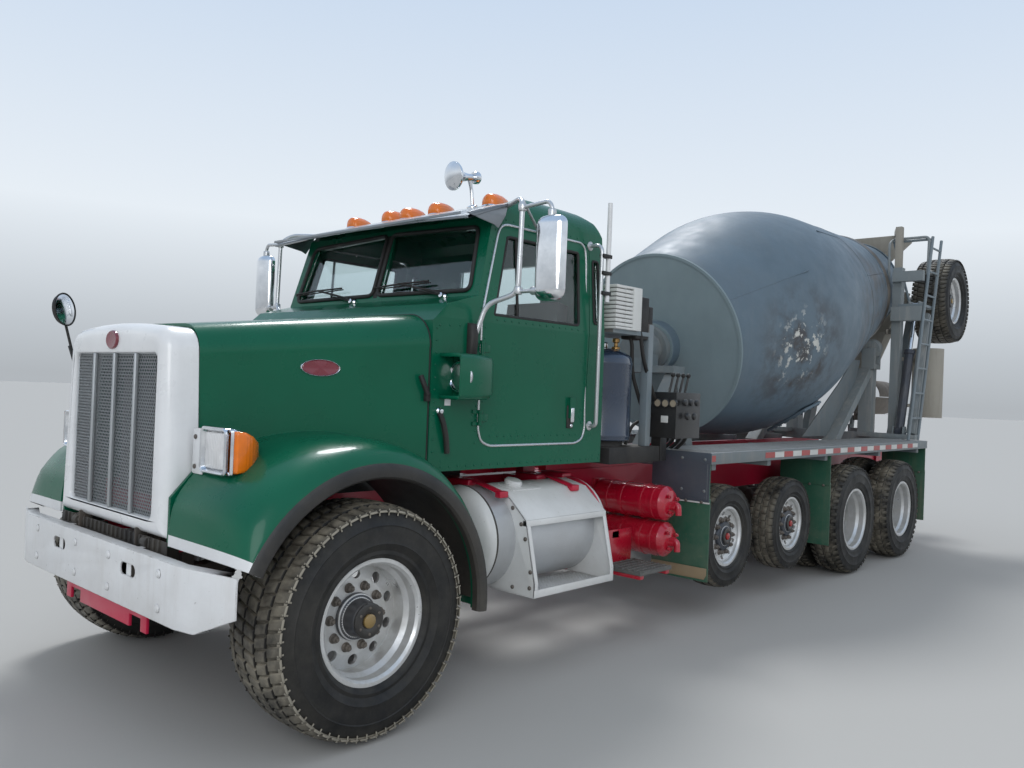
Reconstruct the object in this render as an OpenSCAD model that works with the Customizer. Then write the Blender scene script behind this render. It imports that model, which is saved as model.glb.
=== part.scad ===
// Rear-discharge concrete mixer truck, six axles, long-nose cab.
// Millimetres. Origin on the ground at the middle of the truck, nose towards -Y, driver's side +X, +Z up.
// Stations along the truck are measured backwards from the steer axle.

/* [Layout] */
// Steer axle to the front of the bumper
front_overhang = 800; // [760:5:840]
// Steer axle to the middle of the two drive axles
wheelbase = 6525; // [6400:5:6650]
// Distance between the two drive axles
tandem_spacing = 1333; // [1300:1:1400]
// Steer axle to the first pusher axle
pusher_station = 3475; // [3440:5:3510]
// Distance between the two pusher axles
pusher_spacing = 1110; // [1060:5:1150]
// How far the pusher tyres are lifted off the ground
pusher_lift = 190; // [150:5:210]
// Steer axle to the stowed booster wheels
booster_station = 9450; // [9430:5:9480]
// Height of the stowed booster wheels' centre
booster_height = 3010; // [2980:5:3040]

/* [Wheels] */
// Radius of the wide steer and booster tyres
steer_tyre_r = 548; // [535:1:555]
// Width of the wide steer and booster tyres
steer_tyre_w = 415; // [400:1:425]
// Radius of a drive tyre
drive_tyre_r = 522; // [510:1:530]
// Width of a drive tyre
drive_tyre_w = 278; // [265:1:285]
// Distance between the twin drive tyres' middles
dual_spacing = 343; // [335:1:350]
// Radius of a pusher tyre
pusher_tyre_r = 395; // [385:1:400]
// Width of a pusher tyre
pusher_tyre_w = 240; // [225:1:245]
// Radius over the flange of a 22.5 inch rim
big_rim_r = 298; // [290:1:302]
// Radius over the flange of a 17.5 inch rim
small_rim_r = 234; // [228:1:238]
// Middle of the truck to the middle of a steer tyre
steer_x = 1055; // [1040:1:1060]
// Middle of the truck to the middle of a drive wheel pair
drive_x = 930; // [920:1:940]
// Middle of the truck to the middle of a pusher tyre
pusher_x = 1045; // [1030:1:1060]
// Middle of the truck to the middle of a booster tyre
booster_x = 890; // [885:1:900]
// Running clearance between a hub and its spindle
bearing_gap = 0.4; // [0.3:0.1:0.8]

/* [Chassis] */
// Width over the frame rails
frame_w = 860; // [840:5:870]
// Height of the frame rails' top
frame_top = 1080; // [1060:5:1085]
// Depth of a frame rail
rail_h = 270; // [250:5:280]
// Width of a frame rail's flange
rail_flange = 90; // [80:1:95]
// Thickness of the frame rail plate
rail_t = 10; // [8:1:12]
// Height of the mixer's own sub-frame on the rails
subframe_h = 90; // [80:5:95]
// Steer axle to the tail end of the frame rails
frame_tail = 8700; // [8690:5:8720]

/* [Bumper] */
// Width of the bumper
bumper_w = 2400; // [2360:10:2440]
// Height of the bumper's face
bumper_h = 270; // [250:5:280]
// Height of the bumper's top edge
bumper_top = 850; // [840:1:856]
// How far the bumper's ends sweep back
bumper_sweep = 105; // [90:5:115]
// Depth of the bumper's channel
bumper_d = 70; // [60:5:75]

/* [Cab] */
// Width of the cab
cab_w = 1900; // [1880:5:1910]
// Thickness of the cab's walls
cab_wall = 48; // [40:1:55]
// Steer axle to the front of the cab
cab_front = 538; // [536:1:545]
// Steer axle to the back of the cab
cab_back = 2060; // [2040:5:2090]
// Height of the cab's underside
cab_floor = 1190; // [1185:1:1200]
// Height of the cab's roof
cab_roof = 2830; // [2800:5:2850]
// Gap round a door
door_gap = 6; // [6:1:8]
// How far a door opens, in degrees
door_open = 68; // [60:1:70]

/* [Hood] */
// Hood's width at its front
hood_front_w = 1120; // [1080:10:1140]
// Hood's width at its back
hood_back_w = 1880; // [1860:5:1890]
// Height of the hood at its front
hood_front_top = 1900; // [1880:5:1920]
// Height of the hood at the cab
hood_back_top = 2030; // [2010:5:2040]
// Thickness of the hood shell
hood_wall = 22; // [18:1:26]
// Radius of the wheel arch
arch_r = 665; // [660:1:670]
// Outer edge of the fenders from the middle
fender_x = 1235; // [1225:1:1240]

/* [Drum] */
// Tilt of the drum's axis in degrees
drum_tilt = 13; // [12.5:0.1:13.5]
// Steer axle to the drum's front head
drum_station = 4180; // [4160:5:4200]
// Height of the axis at the front head
drum_height = 2105; // [2100:1:2115]
// Radius of the front head
drum_head_r = 810; // [790:5:820]
// Radius of the drum's barrel
drum_r = 1130; // [1115:5:1135]
// Radius of the drum's mouth
drum_mouth_r = 550; // [535:5:560]
// Length of the front cone
front_cone_l = 1150; // [1130:5:1180]
// Length of the barrel
barrel_l = 700; // [680:5:720]
// Length of the rear cone
rear_cone_l = 2900; // [2880:5:2910]
// Thickness of the drum's plate
drum_wall = 12; // [10:1:14]
// Head to the roller track, along the axis
track_at = 3900; // [3890:5:3920]
// Radius of the roller track
track_r = 735; // [730:1:740]
// Radius of a drum roller
roller_r = 115; // [110:1:120]

/* [Chute] */
// Steer axle to the chute's swivel post
swivel_station = 9070; // [9060:5:9080]
// Height of the chute's lift pivot
chute_height = 1440; // [1430:5:1450]
// Length of the main chute
chute_l = 870; // [850:5:880]
// Outer radius of the chute's trough
chute_r = 235; // [225:1:240]
// Plate thickness of the chutes
chute_wall = 8; // [6:1:10]
// How far the chute swings to each side, in degrees
chute_turn = 50; // [40:1:50]
// How far the chute's tip lifts, in degrees
chute_raise = 15; // [10:1:15]
// How far the booster arms swing down, in degrees
booster_drop = 87; // [80:1:87]

/* [Deck] */
// Steer axle to the front of the side decks
deck_front = 3045; // [3035:5:3055]
// Steer axle to the back of the side decks
deck_back = 7975; // [7960:5:7990]
// Height of the side decks' top
deck_top = 1240; // [1235:1:1250]
// Outer edge of the side decks from the middle
deck_x = 1222; // [1210:1:1230]
// Depth of the deck's side rail
deck_rail_h = 84; // [75:1:90]

/* [Hidden] */
$fn = 48;

// Colours as the photograph shows them
green = [0.03, 0.30, 0.21];
red = [0.66, 0.08, 0.17];
white = [0.88, 0.89, 0.90];
drum_grey = [0.38, 0.46, 0.50];
plate_grey = [0.46, 0.52, 0.55];
concrete = [0.72, 0.69, 0.62];
rubber = [0.07, 0.07, 0.07];
alloy = [0.75, 0.76, 0.78];
iron = [0.16, 0.15, 0.15];
glass = [0.45, 0.55, 0.60];

rear_reach = booster_station + steer_tyre_r;
steer_y = (front_overhang - rear_reach) / 2;
drive_1 = wheelbase - tandem_spacing / 2;
drive_2 = wheelbase + tandem_spacing / 2;
pusher_2 = pusher_station + pusher_spacing;
pusher_z = pusher_tyre_r + pusher_lift;
rail_bottom = frame_top - rail_h;
rail_x = frame_w / 2;
subframe_top = frame_top + subframe_h;
drum_l = front_cone_l + barrel_l + rear_cone_l;
seat = 0.3;

// A spot at a station and a height
module at(station, z = 0, x = 0) translate([x, steer_y + station, z]) children();

// The same thing on the left and on the right
module both_sides() { children(); mirror([1, 0, 0]) children(); }

// A round bar along X, its middle at the origin
module bar_x(r, l) translate([-l / 2, 0, 0]) rotate([0, 90, 0]) cylinder(r = r, h = l);

// A round bar along Y from the origin backwards
module bar_y(r, l) rotate([-90, 0, 0]) cylinder(r = r, h = l);

// A box by its least corner and its far corner
module block(a, b) translate(a) cube([b[0] - a[0], b[1] - a[1], b[2] - a[2]]);

// A round rod between two points
module rod(a, b, r) {
    d = b - a;
    l = norm(d);
    translate(a) rotate([0, acos(d[2] / l), atan2(d[1], d[0])]) cylinder(r = r, h = l);
}

// A side view outline, given as stations and heights, drawn out along X from x to x + w
module side_view(points, x, w)
    translate([x, steer_y, 0]) rotate([90, 0, 90]) linear_extrude(height = w) polygon(points);

// A turned piece round the X axis: its outline is given as radius and distance outwards
module turned_x()
    rotate([0, 90, 0]) rotate_extrude($fn = 96) children();

// Outline of a tyre: bead, sidewall bulge, shoulder and crown
module tyre_outline(r, w, rim_r, bead_w) {
    seat_r = rim_r - 18;
    side_h = r - seat_r;
    bead = bead_w / 2 - seat;
    wall = [for (p = [[0.14, 0.44], [0.32, 0.495], [0.48, 0.5], [0.66, 0.485],
            [0.84, 0.455], [0.93, 0.425], [0.985, 0.37], [1, 0.30]]) [seat_r + p[0] * side_h, p[1] * w]];
    side = concat([[seat_r, bead], [rim_r + 2, bead]], wall);
    polygon(concat(side, [for (i = [len(side) - 1:-1:0]) [side[i][0], -side[i][1]]]));
}

// Outline of a rim: flanges, bead seats and well, as a closed shell
module rim_outline(rim_r, w) {
    h = w / 2;
    polygon([[rim_r - 18 - seat, h - 12], [rim_r - 2, h - 12], [rim_r, h - 6], [rim_r - 4, h], [rim_r - 22, h],
        [rim_r - 34, h - 14], [rim_r - 34, h - 60], [rim_r - 52, h - 84], [rim_r - 52, -h + 70],
        [rim_r - 34, -h + 44], [rim_r - 34, -h + 14], [rim_r - 22, -h], [rim_r - 4, -h], [rim_r, -h + 6],
        [rim_r - 2, -h + 12], [rim_r - 18 - seat, -h + 12], [rim_r - 18 - seat, -h + 44],
        [rim_r - 40, -h + 74], [rim_r - 40, h - 90], [rim_r - 18 - seat, h - 60]]);
}

// A disc wheel: rim, disc with hand holes and a hub with its bore. disc_x is the disc's outer face
// measured outwards from the rim's middle, bow is how far the disc's middle stands out of its edge
module disc_wheel(rim_r, w, disc_x, bow, edge_r, holes, hole_r, hole_at, hub_r, hub_out, hub_in, bore_r) {
    difference() {
        union() {
            turned_x() rim_outline(rim_r, w);
            turned_x() polygon([[hub_r - 1, disc_x], [hub_r + 70, disc_x], [hole_at + hole_r + 6, disc_x - bow],
                [edge_r, disc_x - bow - 4], [edge_r, disc_x - bow - 20],
                [hole_at + hole_r + 2, disc_x - bow - 18], [hub_r + 64, disc_x - 20], [hub_r - 1, disc_x - 20]]);
            turned_x() polygon([[0, hub_out], [hub_r * 0.62, hub_out], [hub_r * 0.72, hub_out - 10],
                [hub_r * 0.76, disc_x + 30], [hub_r, disc_x + 22], [hub_r, hub_in], [0, hub_in]]);
        }
        for (i = [0:holes - 1]) rotate([i * 360 / holes, 0, 0])
            translate([0, 0, hole_at]) bar_x(hole_r, 3 * w);
        translate([hub_in - 1, 0, 0]) rotate([0, 90, 0]) cylinder(r = bore_r + bearing_gap, h = 121);
    }
}

// Wheel sets

// Where a disc meets its rim, measured inwards from the flange: in the well, or on the rim's flank
well_depth = 46;
flank_depth = 26;

// Rim widths and hub places, each measured outwards from the tyre's middle
steer_rim_w = 330;
steer_hub_out = 130;
steer_disc = 22;
spindle_r = 45;
spindle_depth = 115;

module wide_tyre() color(rubber) turned_x() tyre_outline(steer_tyre_r, steer_tyre_w, big_rim_r, steer_rim_w - 24);

module wide_rim() color(alloy)
    disc_wheel(big_rim_r, steer_rim_w, steer_disc, 12, big_rim_r - well_depth, 10, 26, 205, 110, steer_hub_out, -60, spindle_r);

pusher_rim_w = 190;
module pusher_tyre() color(rubber)
    turned_x() tyre_outline(pusher_tyre_r, pusher_tyre_w, small_rim_r, pusher_rim_w - 24);

module pusher_rim() color(alloy)
    disc_wheel(small_rim_r, pusher_rim_w, 52, -14, small_rim_r - flank_depth, 10, 16, 168, 92, 95, -70, spindle_r);

drive_rim_w = 232;
drive_disc = -14;
module drive_tyres() color(rubber) for (s = [-1, 1]) translate([s * dual_spacing / 2, 0, 0])
    turned_x() tyre_outline(drive_tyre_r, drive_tyre_w, big_rim_r, drive_rim_w - 24);

// The twin rims stand back to back on one hub, so the outer one shows a deep dish
module drive_rims() color(alloy) {
    edge_r = big_rim_r - flank_depth;
    difference() {
        union() {
            for (s = [-1, 1]) {
                turned_x() translate([0, s * dual_spacing / 2]) rim_outline(big_rim_r, drive_rim_w);
                turned_x() polygon([for (p = [[109, 0], [180, 0], [232, 30], [edge_r, 66],
                    [edge_r, 90], [226, 54], [176, 20], [109, 20]]) [p[0], s * p[1]]]);
            }
            turned_x() polygon([[0, 150], [70, 150], [82, 140], [84, 34], [110, 30], [110, -150], [0, -150]]);
        }
        for (i = [0:9]) rotate([i * 36, 0, 0]) translate([0, 0, 205]) bar_x(26, 3 * drive_rim_w);
        translate([-151, 0, 0]) rotate([0, 90, 0]) cylinder(r = spindle_r + bearing_gap, h = 121);
    }
}

// Wheel stations: name, middle from the centre line, station, height
module place_wheel(x, station, z, side) at(station, z, side * x) mirror([side < 0 ? 1 : 0, 0, 0]) children();

// Chassis pieces

// Cross members of the frame: station and length along the truck
frame_nose = -555;
cross_members = [[frame_nose, 30], [1640, 90], [2500, 90], [3850, 90], [5200, 90], [6480, 90], [7650, 90],
    [frame_tail - 60, 60]];
cross_h = 80;
subframe_front = 2140;

// One frame rail is a channel with its back outwards
module frame_rails() color(red) {
    both_sides() difference() {
        at(frame_nose, rail_bottom, rail_x - rail_flange) cube([rail_flange, frame_tail - frame_nose, rail_h]);
        at(frame_nose - 1, rail_bottom + rail_t, rail_x - rail_flange - 1)
            cube([rail_flange - rail_t + 1, frame_tail - frame_nose + 2, rail_h - 2 * rail_t]);
    }
    for (c = cross_members) at(c[0], frame_top - 40 - cross_h, -rail_x + rail_t)
        cube([frame_w - 2 * rail_t, c[1], cross_h]);
    both_sides() {
        at(subframe_front, frame_top, rail_x - 80) cube([70, frame_tail - subframe_front, subframe_h]);
        difference() {
            at(frame_tail - 140, rail_bottom - 60, rail_x) cube([24, 280, 430]);
            at(tow_rear[0], tow_rear[1], rail_x) bar_x(tow_r, 100);
        }
    }
    both_sides() at(booster_pivot, booster_pivot_z) rotate([0, 90, 0]) {
        translate([0, 0, rail_x]) cylinder(r = 60, h = booster_arm_x - rail_x - 50);
        translate([0, 0, rail_x]) cylinder(r = booster_pin_r, h = booster_arm_x - rail_x + 60);
    }
    // Mounts under the cab's floor
    both_sides() for (s = [630, 1900]) at(s, frame_top, rail_x - 80) cube([70, 120, cab_floor - frame_top - seat]);
    // Bracket and post of the chute's swivel
    at(frame_tail - 1, frame_top - 120, -120) cube([240, swivel_station - frame_tail + 60, 80]);
    at(swivel_station, frame_top - 100) cylinder(r = 60, h = swivel_low + 150 - frame_top + 100);
    at(swivel_station, frame_top - 100) cylinder(r = swivel_r, h = swivel_low + 290 - frame_top + 100);
}

// Outline of the bumper seen from above, as a strip of even depth
module bumper_plan(d) {
    bend = bumper_w / 2 - 330;
    h = bumper_w / 2;
    polygon([[-h, bumper_sweep], [-bend, 0], [bend, 0], [h, bumper_sweep], [h, bumper_sweep + d],
        [bend, d], [-bend, d], [-h, bumper_sweep + d]]);
}

// Bores for a tow pin, each as station and height, in the bumper's brackets and in the tail plates
tow_plate = 50;
tow_r = 22;
tow_front = [-650, 720];
tow_rear = [8780, 850];
module front_bumper() {
    low = bumper_top - bumper_h;
    h = bumper_w / 2;
    color(white) difference() {
        at(-front_overhang) intersection() {
            translate([0, 0, low]) linear_extrude(height = bumper_h) bumper_plan(bumper_d);
            rotate([90, 0, 0]) translate([0, 0, -400]) linear_extrude(height = 500)
                polygon([[-h, low + 90], [-h + 210, low], [h - 210, low], [h, low + 90],
                    [h, bumper_top - 10], [h - 400, bumper_top], [-h + 400, bumper_top], [-h, bumper_top - 10]]);
        }
        at(-front_overhang + 8, low + 8) linear_extrude(height = bumper_h - 16)
            bumper_plan(bumper_d);
        both_sides() at(-front_overhang - 10, low + 175) for (x = [360, 460])
            translate([x, 0, 0]) bar_y(28, 60);
        both_sides() at(-front_overhang - 10, low + 147, 360) cube([100, 60, 56]);
    }
    color(red) both_sides() {
        difference() {
            at(-front_overhang + 8, low + 60, rail_x - tow_plate) cube([tow_plate, front_overhang + frame_nose - 8 - seat, bumper_top - low - 60]);
            at(tow_front[0], tow_front[1], rail_x) bar_x(tow_r, 4 * tow_plate);
        }
        at(hood_pivot_s, hood_pivot_z, rail_x - tow_plate - hinge_pin_l)
            rotate([0, 90, 0]) cylinder(r = hinge_pin_r, h = hinge_pin_l + 10);
        at(hood_pivot_s, hood_pivot_z, rail_x - tow_plate) rotate([0, 90, 0]) cylinder(r = 26, h = tow_plate);
    }
    color(red) at(-front_overhang + 82, low - 120, -470) difference() {
        cube([940, 14, 190]);
        translate([60, -1, -1]) cube([120, 16, 60]);
        translate([760, -1, -1]) cube([120, 16, 60]);
    }
}

kingpin_x = 870;
axle_drop = 90;
knuckle_h = 250;
kingpin_r = 26;
spring_x = 410;
spring_half = 540;
module steer_axle() color(iron) {
    at(0, steer_tyre_r) {
        translate([-spring_x - 60, -45, -axle_drop - 60]) cube([2 * spring_x + 120, 90, 90]);
        both_sides() difference() {
            union() {
                hull() {
                    translate([spring_x + 50, -45, -axle_drop - 60]) cube([10, 90, 90]);
                    translate([kingpin_x - 80, -40, -60]) cube([15, 80, 110]);
                }
                translate([kingpin_x - 80, -40, -60]) cube([80, 80, 110]);
                translate([kingpin_x, 0, -60]) cylinder(r = 40, h = 110);
            }
            translate([kingpin_x, 0, -61]) cylinder(r = kingpin_r + bearing_gap, h = 112);
        }
    }
    // Leaf springs, shackles and dampers under the rails
    both_sides() {
        at(0, steer_tyre_r - axle_drop + 30, spring_x - 45) {
            hull() {
                translate([0, -60, 0]) cube([90, 120, 50]);
                translate([0, -spring_half, 150]) cube([90, 30, 16]);
            }
            hull() {
                translate([0, -60, 0]) cube([90, 120, 50]);
                translate([0, spring_half - 30, 150]) cube([90, 30, 16]);
            }
        }
        for (s = [-spring_half, spring_half - 60]) at(s, steer_tyre_r + 100, spring_x - 35)
            cube([60, 60, rail_bottom - steer_tyre_r - 100]);
    }
}

module pusher_axles() color(iron) for (s = [pusher_station, pusher_2]) {
    at(s, pusher_z) {
        bar_x(62, 2 * (pusher_x - 76));
        both_sides() translate([pusher_x - 80, 0, 0]) rotate([0, 90, 0]) cylinder(r = spindle_r, h = 80);
        // Trailing arms up to hangers under the rails
        both_sides() hull() {
            translate([rail_x - 80, -70, -70]) cube([60, 140, 70]);
            translate([rail_x - 80, -430, rail_bottom - pusher_z - 130]) cube([60, 80, 60]);
        }
    }
    both_sides() at(s - 440, rail_bottom - 170, rail_x - 90) cube([80, 100, 170]);
    both_sides() at(s - 20, pusher_z + 50, rail_x - 50) cylinder(r = 40, h = rail_bottom - pusher_z - 50);
}

shaft_z = frame_top - 210;
module drive_axles() color(iron) {
    for (s = [drive_1, drive_2]) at(s, drive_tyre_r) {
        bar_x(70, 2 * (drive_x - 156));
        both_sides() translate([drive_x - 160, 0, 0]) rotate([0, 90, 0]) cylinder(r = spindle_r, h = 120);
        turned_x() polygon([[0, -190], [90, -190], [175, -105], [215, -35], [215, 35], [175, 105], [90, 190], [0, 190]]);
        rotate([90, 0, 0]) cylinder(r = 92, h = 300);
    }
    // Walking beams and their saddles
    both_sides() {
        at(drive_1, drive_tyre_r - 60, rail_x - 10) cube([80, tandem_spacing, 120]);
        hull() {
            at(wheelbase - 160, drive_tyre_r, rail_x + 5) cube([60, 320, 60]);
            at(wheelbase - 300, rail_bottom - 10, rail_x + 5) cube([60, 600, 10]);
        }
        at(wheelbase - 300, rail_bottom - 10, rail_x + 0.3) cube([64, 600, 150]);
    }
    // Drive shafts
    at(1510, shaft_z) bar_y(45, drive_1 - 1510 - 500);
    hull() {
        at(drive_1 - 520, shaft_z) rotate([-90, 0, 0]) cylinder(r = 45, h = 20, $fn = 24);
        at(drive_1 - 300, drive_tyre_r) rotate([-90, 0, 0]) cylinder(r = 60, h = 20, $fn = 24);
    }
    hull() {
        at(drive_1 + 190, drive_tyre_r + 40) rotate([-90, 0, 0]) cylinder(r = 50, h = 20, $fn = 24);
        at(drive_2 - 310, drive_tyre_r) rotate([-90, 0, 0]) cylinder(r = 50, h = 20, $fn = 24);
    }
}

// One block for the engine with its gearbox, and the radiator in front
module engine() color(iron) {
    block([-290, steer_y - 330, rail_bottom + 20], [290, steer_y + 500, 1540]);
    block([-290, steer_y - 451, rail_bottom + 20], [290, steer_y - 329, rail_bottom + 80]);
    block([-200, steer_y + 500, rail_bottom + 20], [200, steer_y + 1510, 1130]);
    block([-335, steer_y - 520, rail_bottom + 40], [335, steer_y - 450, 1640]);
    both_sides() block([290, steer_y - 150, frame_top - 20 - 60], [rail_x - rail_t, steer_y - 50, frame_top - 20]);
}

// Cab pieces

cab_h = cab_w / 2;
belt = 2050;
// Side outline of the cab: cowl, windshield, roof and back wall
cab_side = [[cab_front, cab_floor], [cab_front, 2000], [cab_front + 110, 2100], [880, 2165], [1010, 2640],
    [1090, 2720], [1350, cab_roof - 22], [1650, cab_roof], [1880, cab_roof - 22], [2000, cab_roof - 70],
    [cab_back, cab_roof - 160], [cab_back, cab_floor]];
// Front outline of the cab, its roof's corners rounded
module cab_section(shrink) {
    r = 170;
    w = cab_h - shrink;
    top = cab_roof - shrink;
    hull() {
        for (s = [-1, 1]) translate([s * (w - 50 - r), top - r]) circle(r = r);
        translate([-w, cab_floor + shrink]) square([2 * w, 10]);
        translate([-w, belt - 40]) square([2 * w, 10]);
    }
}
module cab_form(shrink) intersection() {
    translate([-cab_w, steer_y, 0]) rotate([90, 0, 90]) linear_extrude(height = 2 * cab_w)
        offset(delta = -shrink) polygon(cab_side);
    translate([0, steer_y + cab_back + 10, 0]) rotate([90, 0, 0])
        linear_extrude(height = cab_back - cab_front + 20) cab_section(shrink);
}

// Door hinges: their heights, the axis as distance from the middle and station, and their barrel
hinge_heights = [1480, 1870];
hinge_out = 14;
barrel_r = 12;
door_pin_r = 6;
barrel_h = 44;
// The cab's half of a hinge: a leaf, two knuckles and the pin
module cab_hinge(z) at(door_front - 3, z, cab_h + hinge_out) {
    for (e = [-barrel_h, barrel_h / 2 + 0.5]) translate([0, 0, e]) {
        cylinder(r = barrel_r, h = barrel_h / 2 - 0.5);
        translate([-hinge_out - 4, -50, 0]) cube([12, 44, barrel_h / 2 - 0.5]);
    }
    translate([0, 0, -barrel_h]) cylinder(r = door_pin_r, h = 2 * barrel_h);
}
// The door's half: a barrel on its leaf
module door_hinge(z) at(door_front - 3, z, cab_h + hinge_out) difference() {
    union() {
        translate([0, 0, -barrel_h / 2]) cylinder(r = barrel_r, h = barrel_h);
        translate([-hinge_out - 4, 5, -barrel_h / 2]) cube([12, 44, barrel_h]);
    }
    translate([0, 0, -barrel_h]) cylinder(r = door_pin_r + bearing_gap, h = 2 * barrel_h);
}

// Outline of a door: station and height, with round lower corners
door_r = 90;
door_low = 1325;
door_front = 905;
door_back = 1870;
door_top = 2600;
module door_outline(grow) offset(delta = grow) hull() {
    for (p = [[door_front + door_r, door_low + door_r], [door_back - door_r, door_low + door_r]])
        translate(p) circle(r = door_r);
    translate([1110, door_top - 50]) circle(r = 50);
    translate([door_back - 10, door_top - 50]) circle(r = 50);
    translate([door_front, belt - 20]) square([10, 10]);
}
// Window of a door: station and height
module door_window() hull() {
    translate([1010, belt + 20]) square(10);
    translate([1120, door_top - 75]) square(10);
    translate([door_back - 90, belt + 20]) square(10);
    translate([door_back - 75, door_top - 75]) square(10);
}
module across(x, w) translate([x, steer_y, 0]) rotate([90, 0, 90]) linear_extrude(height = w) children();

// Corners of the small window behind a door: station and height
small_window = [[1962, 2120], [1962, 2480], [1985, 2120], [1985, 2480]];

// Windshield pane: half of the opening, seen from the front
module windshield_pane(gap) polygon([[28 + gap, 2215 + gap], [28 + gap, 2600 - gap],
    [cab_h - 150 - gap, 2570 - gap], [cab_h - 95 - gap, 2205 + gap]]);

module cab_shell() color(green) {
    both_sides() for (z = hinge_heights) cab_hinge(z);
    difference() {
        cab_form(0);
        cab_form(cab_wall);
        // Door openings, their walls cut through
        both_sides() across(cab_h - 120, 240) door_outline(door_gap);
        // Windshield panes and the back window
        both_sides() at(1300) rotate([90, 0, 0]) linear_extrude(height = 900) windshield_pane(0);
        at(cab_back + 20) rotate([90, 0, 0]) linear_extrude(height = 200)
            polygon([[-420, 2130], [420, 2130], [400, 2520], [-400, 2520]]);
        // Small windows behind the doors
        both_sides() across(cab_h - 120, 240) hull() {
            for (p = small_window) translate(p) circle(r = 24);
        }
    }
}

module cab_glass() color(glass) {
    glass_t = 8;
    intersection() {
        difference() { cab_form(18); cab_form(18 + glass_t); }
        union() {
            both_sides() at(1300) rotate([90, 0, 0]) linear_extrude(height = 900) windshield_pane(seat);
            at(cab_back + 20) rotate([90, 0, 0]) linear_extrude(height = 200)
                polygon([[-419, 2131], [419, 2131], [399, 2519], [-399, 2519]]);
            both_sides() across(cab_h - 120, 240) hull() {
                for (p = small_window) translate(p) circle(r = 24 - seat);
            }
        }
    }
}

module cab_interior() color(iron) {
    floor_z = cab_floor + cab_wall + seat;
    // Dash, seats and steering wheel on its column
    at(cab_front + 60, 1500, -cab_h + cab_wall + seat) cube([cab_w - 2 * cab_wall - 2 * seat, 290, 430]);
    both_sides() {
        at(1400, floor_z, 260) cube([420, 420, 270]);
        side_view([[1380, floor_z + 260], [1890, floor_z + 260], [1970, floor_z + 980], [1870, floor_z + 1000],
            [1785, floor_z + 380], [1380, floor_z + 370]], 240, 460);
    }
    at(1262, 1862, 470) rotate([-55, 0, 0]) {
        rotate_extrude() translate([220, 0]) circle(r = 14);
        translate([0, 0, -14]) cylinder(r = 40, h = 28);
        for (i = [0:2]) rotate([0, 0, i * 120]) translate([0, -14, -8]) cube([222, 28, 16]);
    }
    rod([470, steer_y + 830, 1560], [470, steer_y + 1254, 1856], 32);
}

mirror_x = 1395;
mirror_l = 460;
mirror_s = 950;
mirror_low = 2120;
// Shell of a mirror: a rounded back and a flat face, tapered at both ends
module mirror_shell() hull() for (e = [[0, 62, 30], [45, 96, 52], [mirror_l - 45, 96, 52], [mirror_l, 62, 30]])
    translate([0, 0, e[0]]) linear_extrude(height = 1) difference() {
        scale([1, e[2] / e[1]]) circle(r = e[1], $fn = 32);
        translate([-200, 20]) square([400, 200]);
    }
// One mirror: shell, upper and lower tubes and the black foot on the cowl
module side_mirror() {
    color(alloy) {
        at(mirror_s, mirror_low, mirror_x) mirror_shell();
        points = [[cab_h + 22, 830, 1930], [cab_h + 60, 870, 2110], [1190, 930, 2170], [1190, 940, 2630],
            [cab_h - 40, 1120, 2700]];
        for (i = [0:len(points) - 2]) rod([points[i][0], steer_y + points[i][1], points[i][2]],
            [points[i + 1][0], steer_y + points[i + 1][1], points[i + 1][2]], 14);
        for (i = [1:len(points) - 2]) at(points[i][1], points[i][2], points[i][0]) sphere(r = 18, $fn = 24);
        rod([1190, steer_y + 930, 2180], [mirror_x, steer_y + mirror_s, 2180], 12);
        rod([1190, steer_y + 940, 2600], [mirror_x, steer_y + mirror_s, 2560], 12);
    }
    color(iron) at(790, 1850, cab_h) cube([40, 55, 150]);
}
module mirrors() both_sides() side_mirror();

module roof_fittings() difference() {
    union() {
        // Sun visor, five amber lamps, a round horn and the grab rails behind the doors
        color(plate_grey) difference() {
            side_view([[720, 2610], [735, 2590], [1000, 2630], [1085, 2705], [1070, 2724], [985, 2690]],
                -cab_h - 10, cab_w + 20);
            both_sides() at(700, 2500, cab_h - 12) rotate([0, 0, 20]) cube([200, 80, 300]);
        }
        color([1, 0.55, 0.08]) for (x = [-760, -210, 0, 210, 760]) at(1180, cab_roof - 110, x) {
            cylinder(r = 62, h = 70);
            translate([0, 0, 70]) cylinder(r1 = 62, r2 = 30, h = 50);
        }
        color(alloy) {
            rod([560, steer_y + 1180, cab_roof - 90], [560, steer_y + 1090, cab_roof + 90], 12);
            at(1010, cab_roof + 90, 560) bar_y(86, 50);
            at(1050, cab_roof + 90, 560) bar_y(40, 60);
            both_sides() {
                rod([cab_h + 55, steer_y + 1925, 1430], [cab_h + 55, steer_y + 1925, 2600], 13);
                for (z = [1430, 2600]) rod([cab_h - 70, steer_y + 1925, z], [cab_h + 55, steer_y + 1925, z], 13);
            }
        }
    }
    cab_form(-seat);
}

// Tanks and boxes hung on the rails

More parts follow.
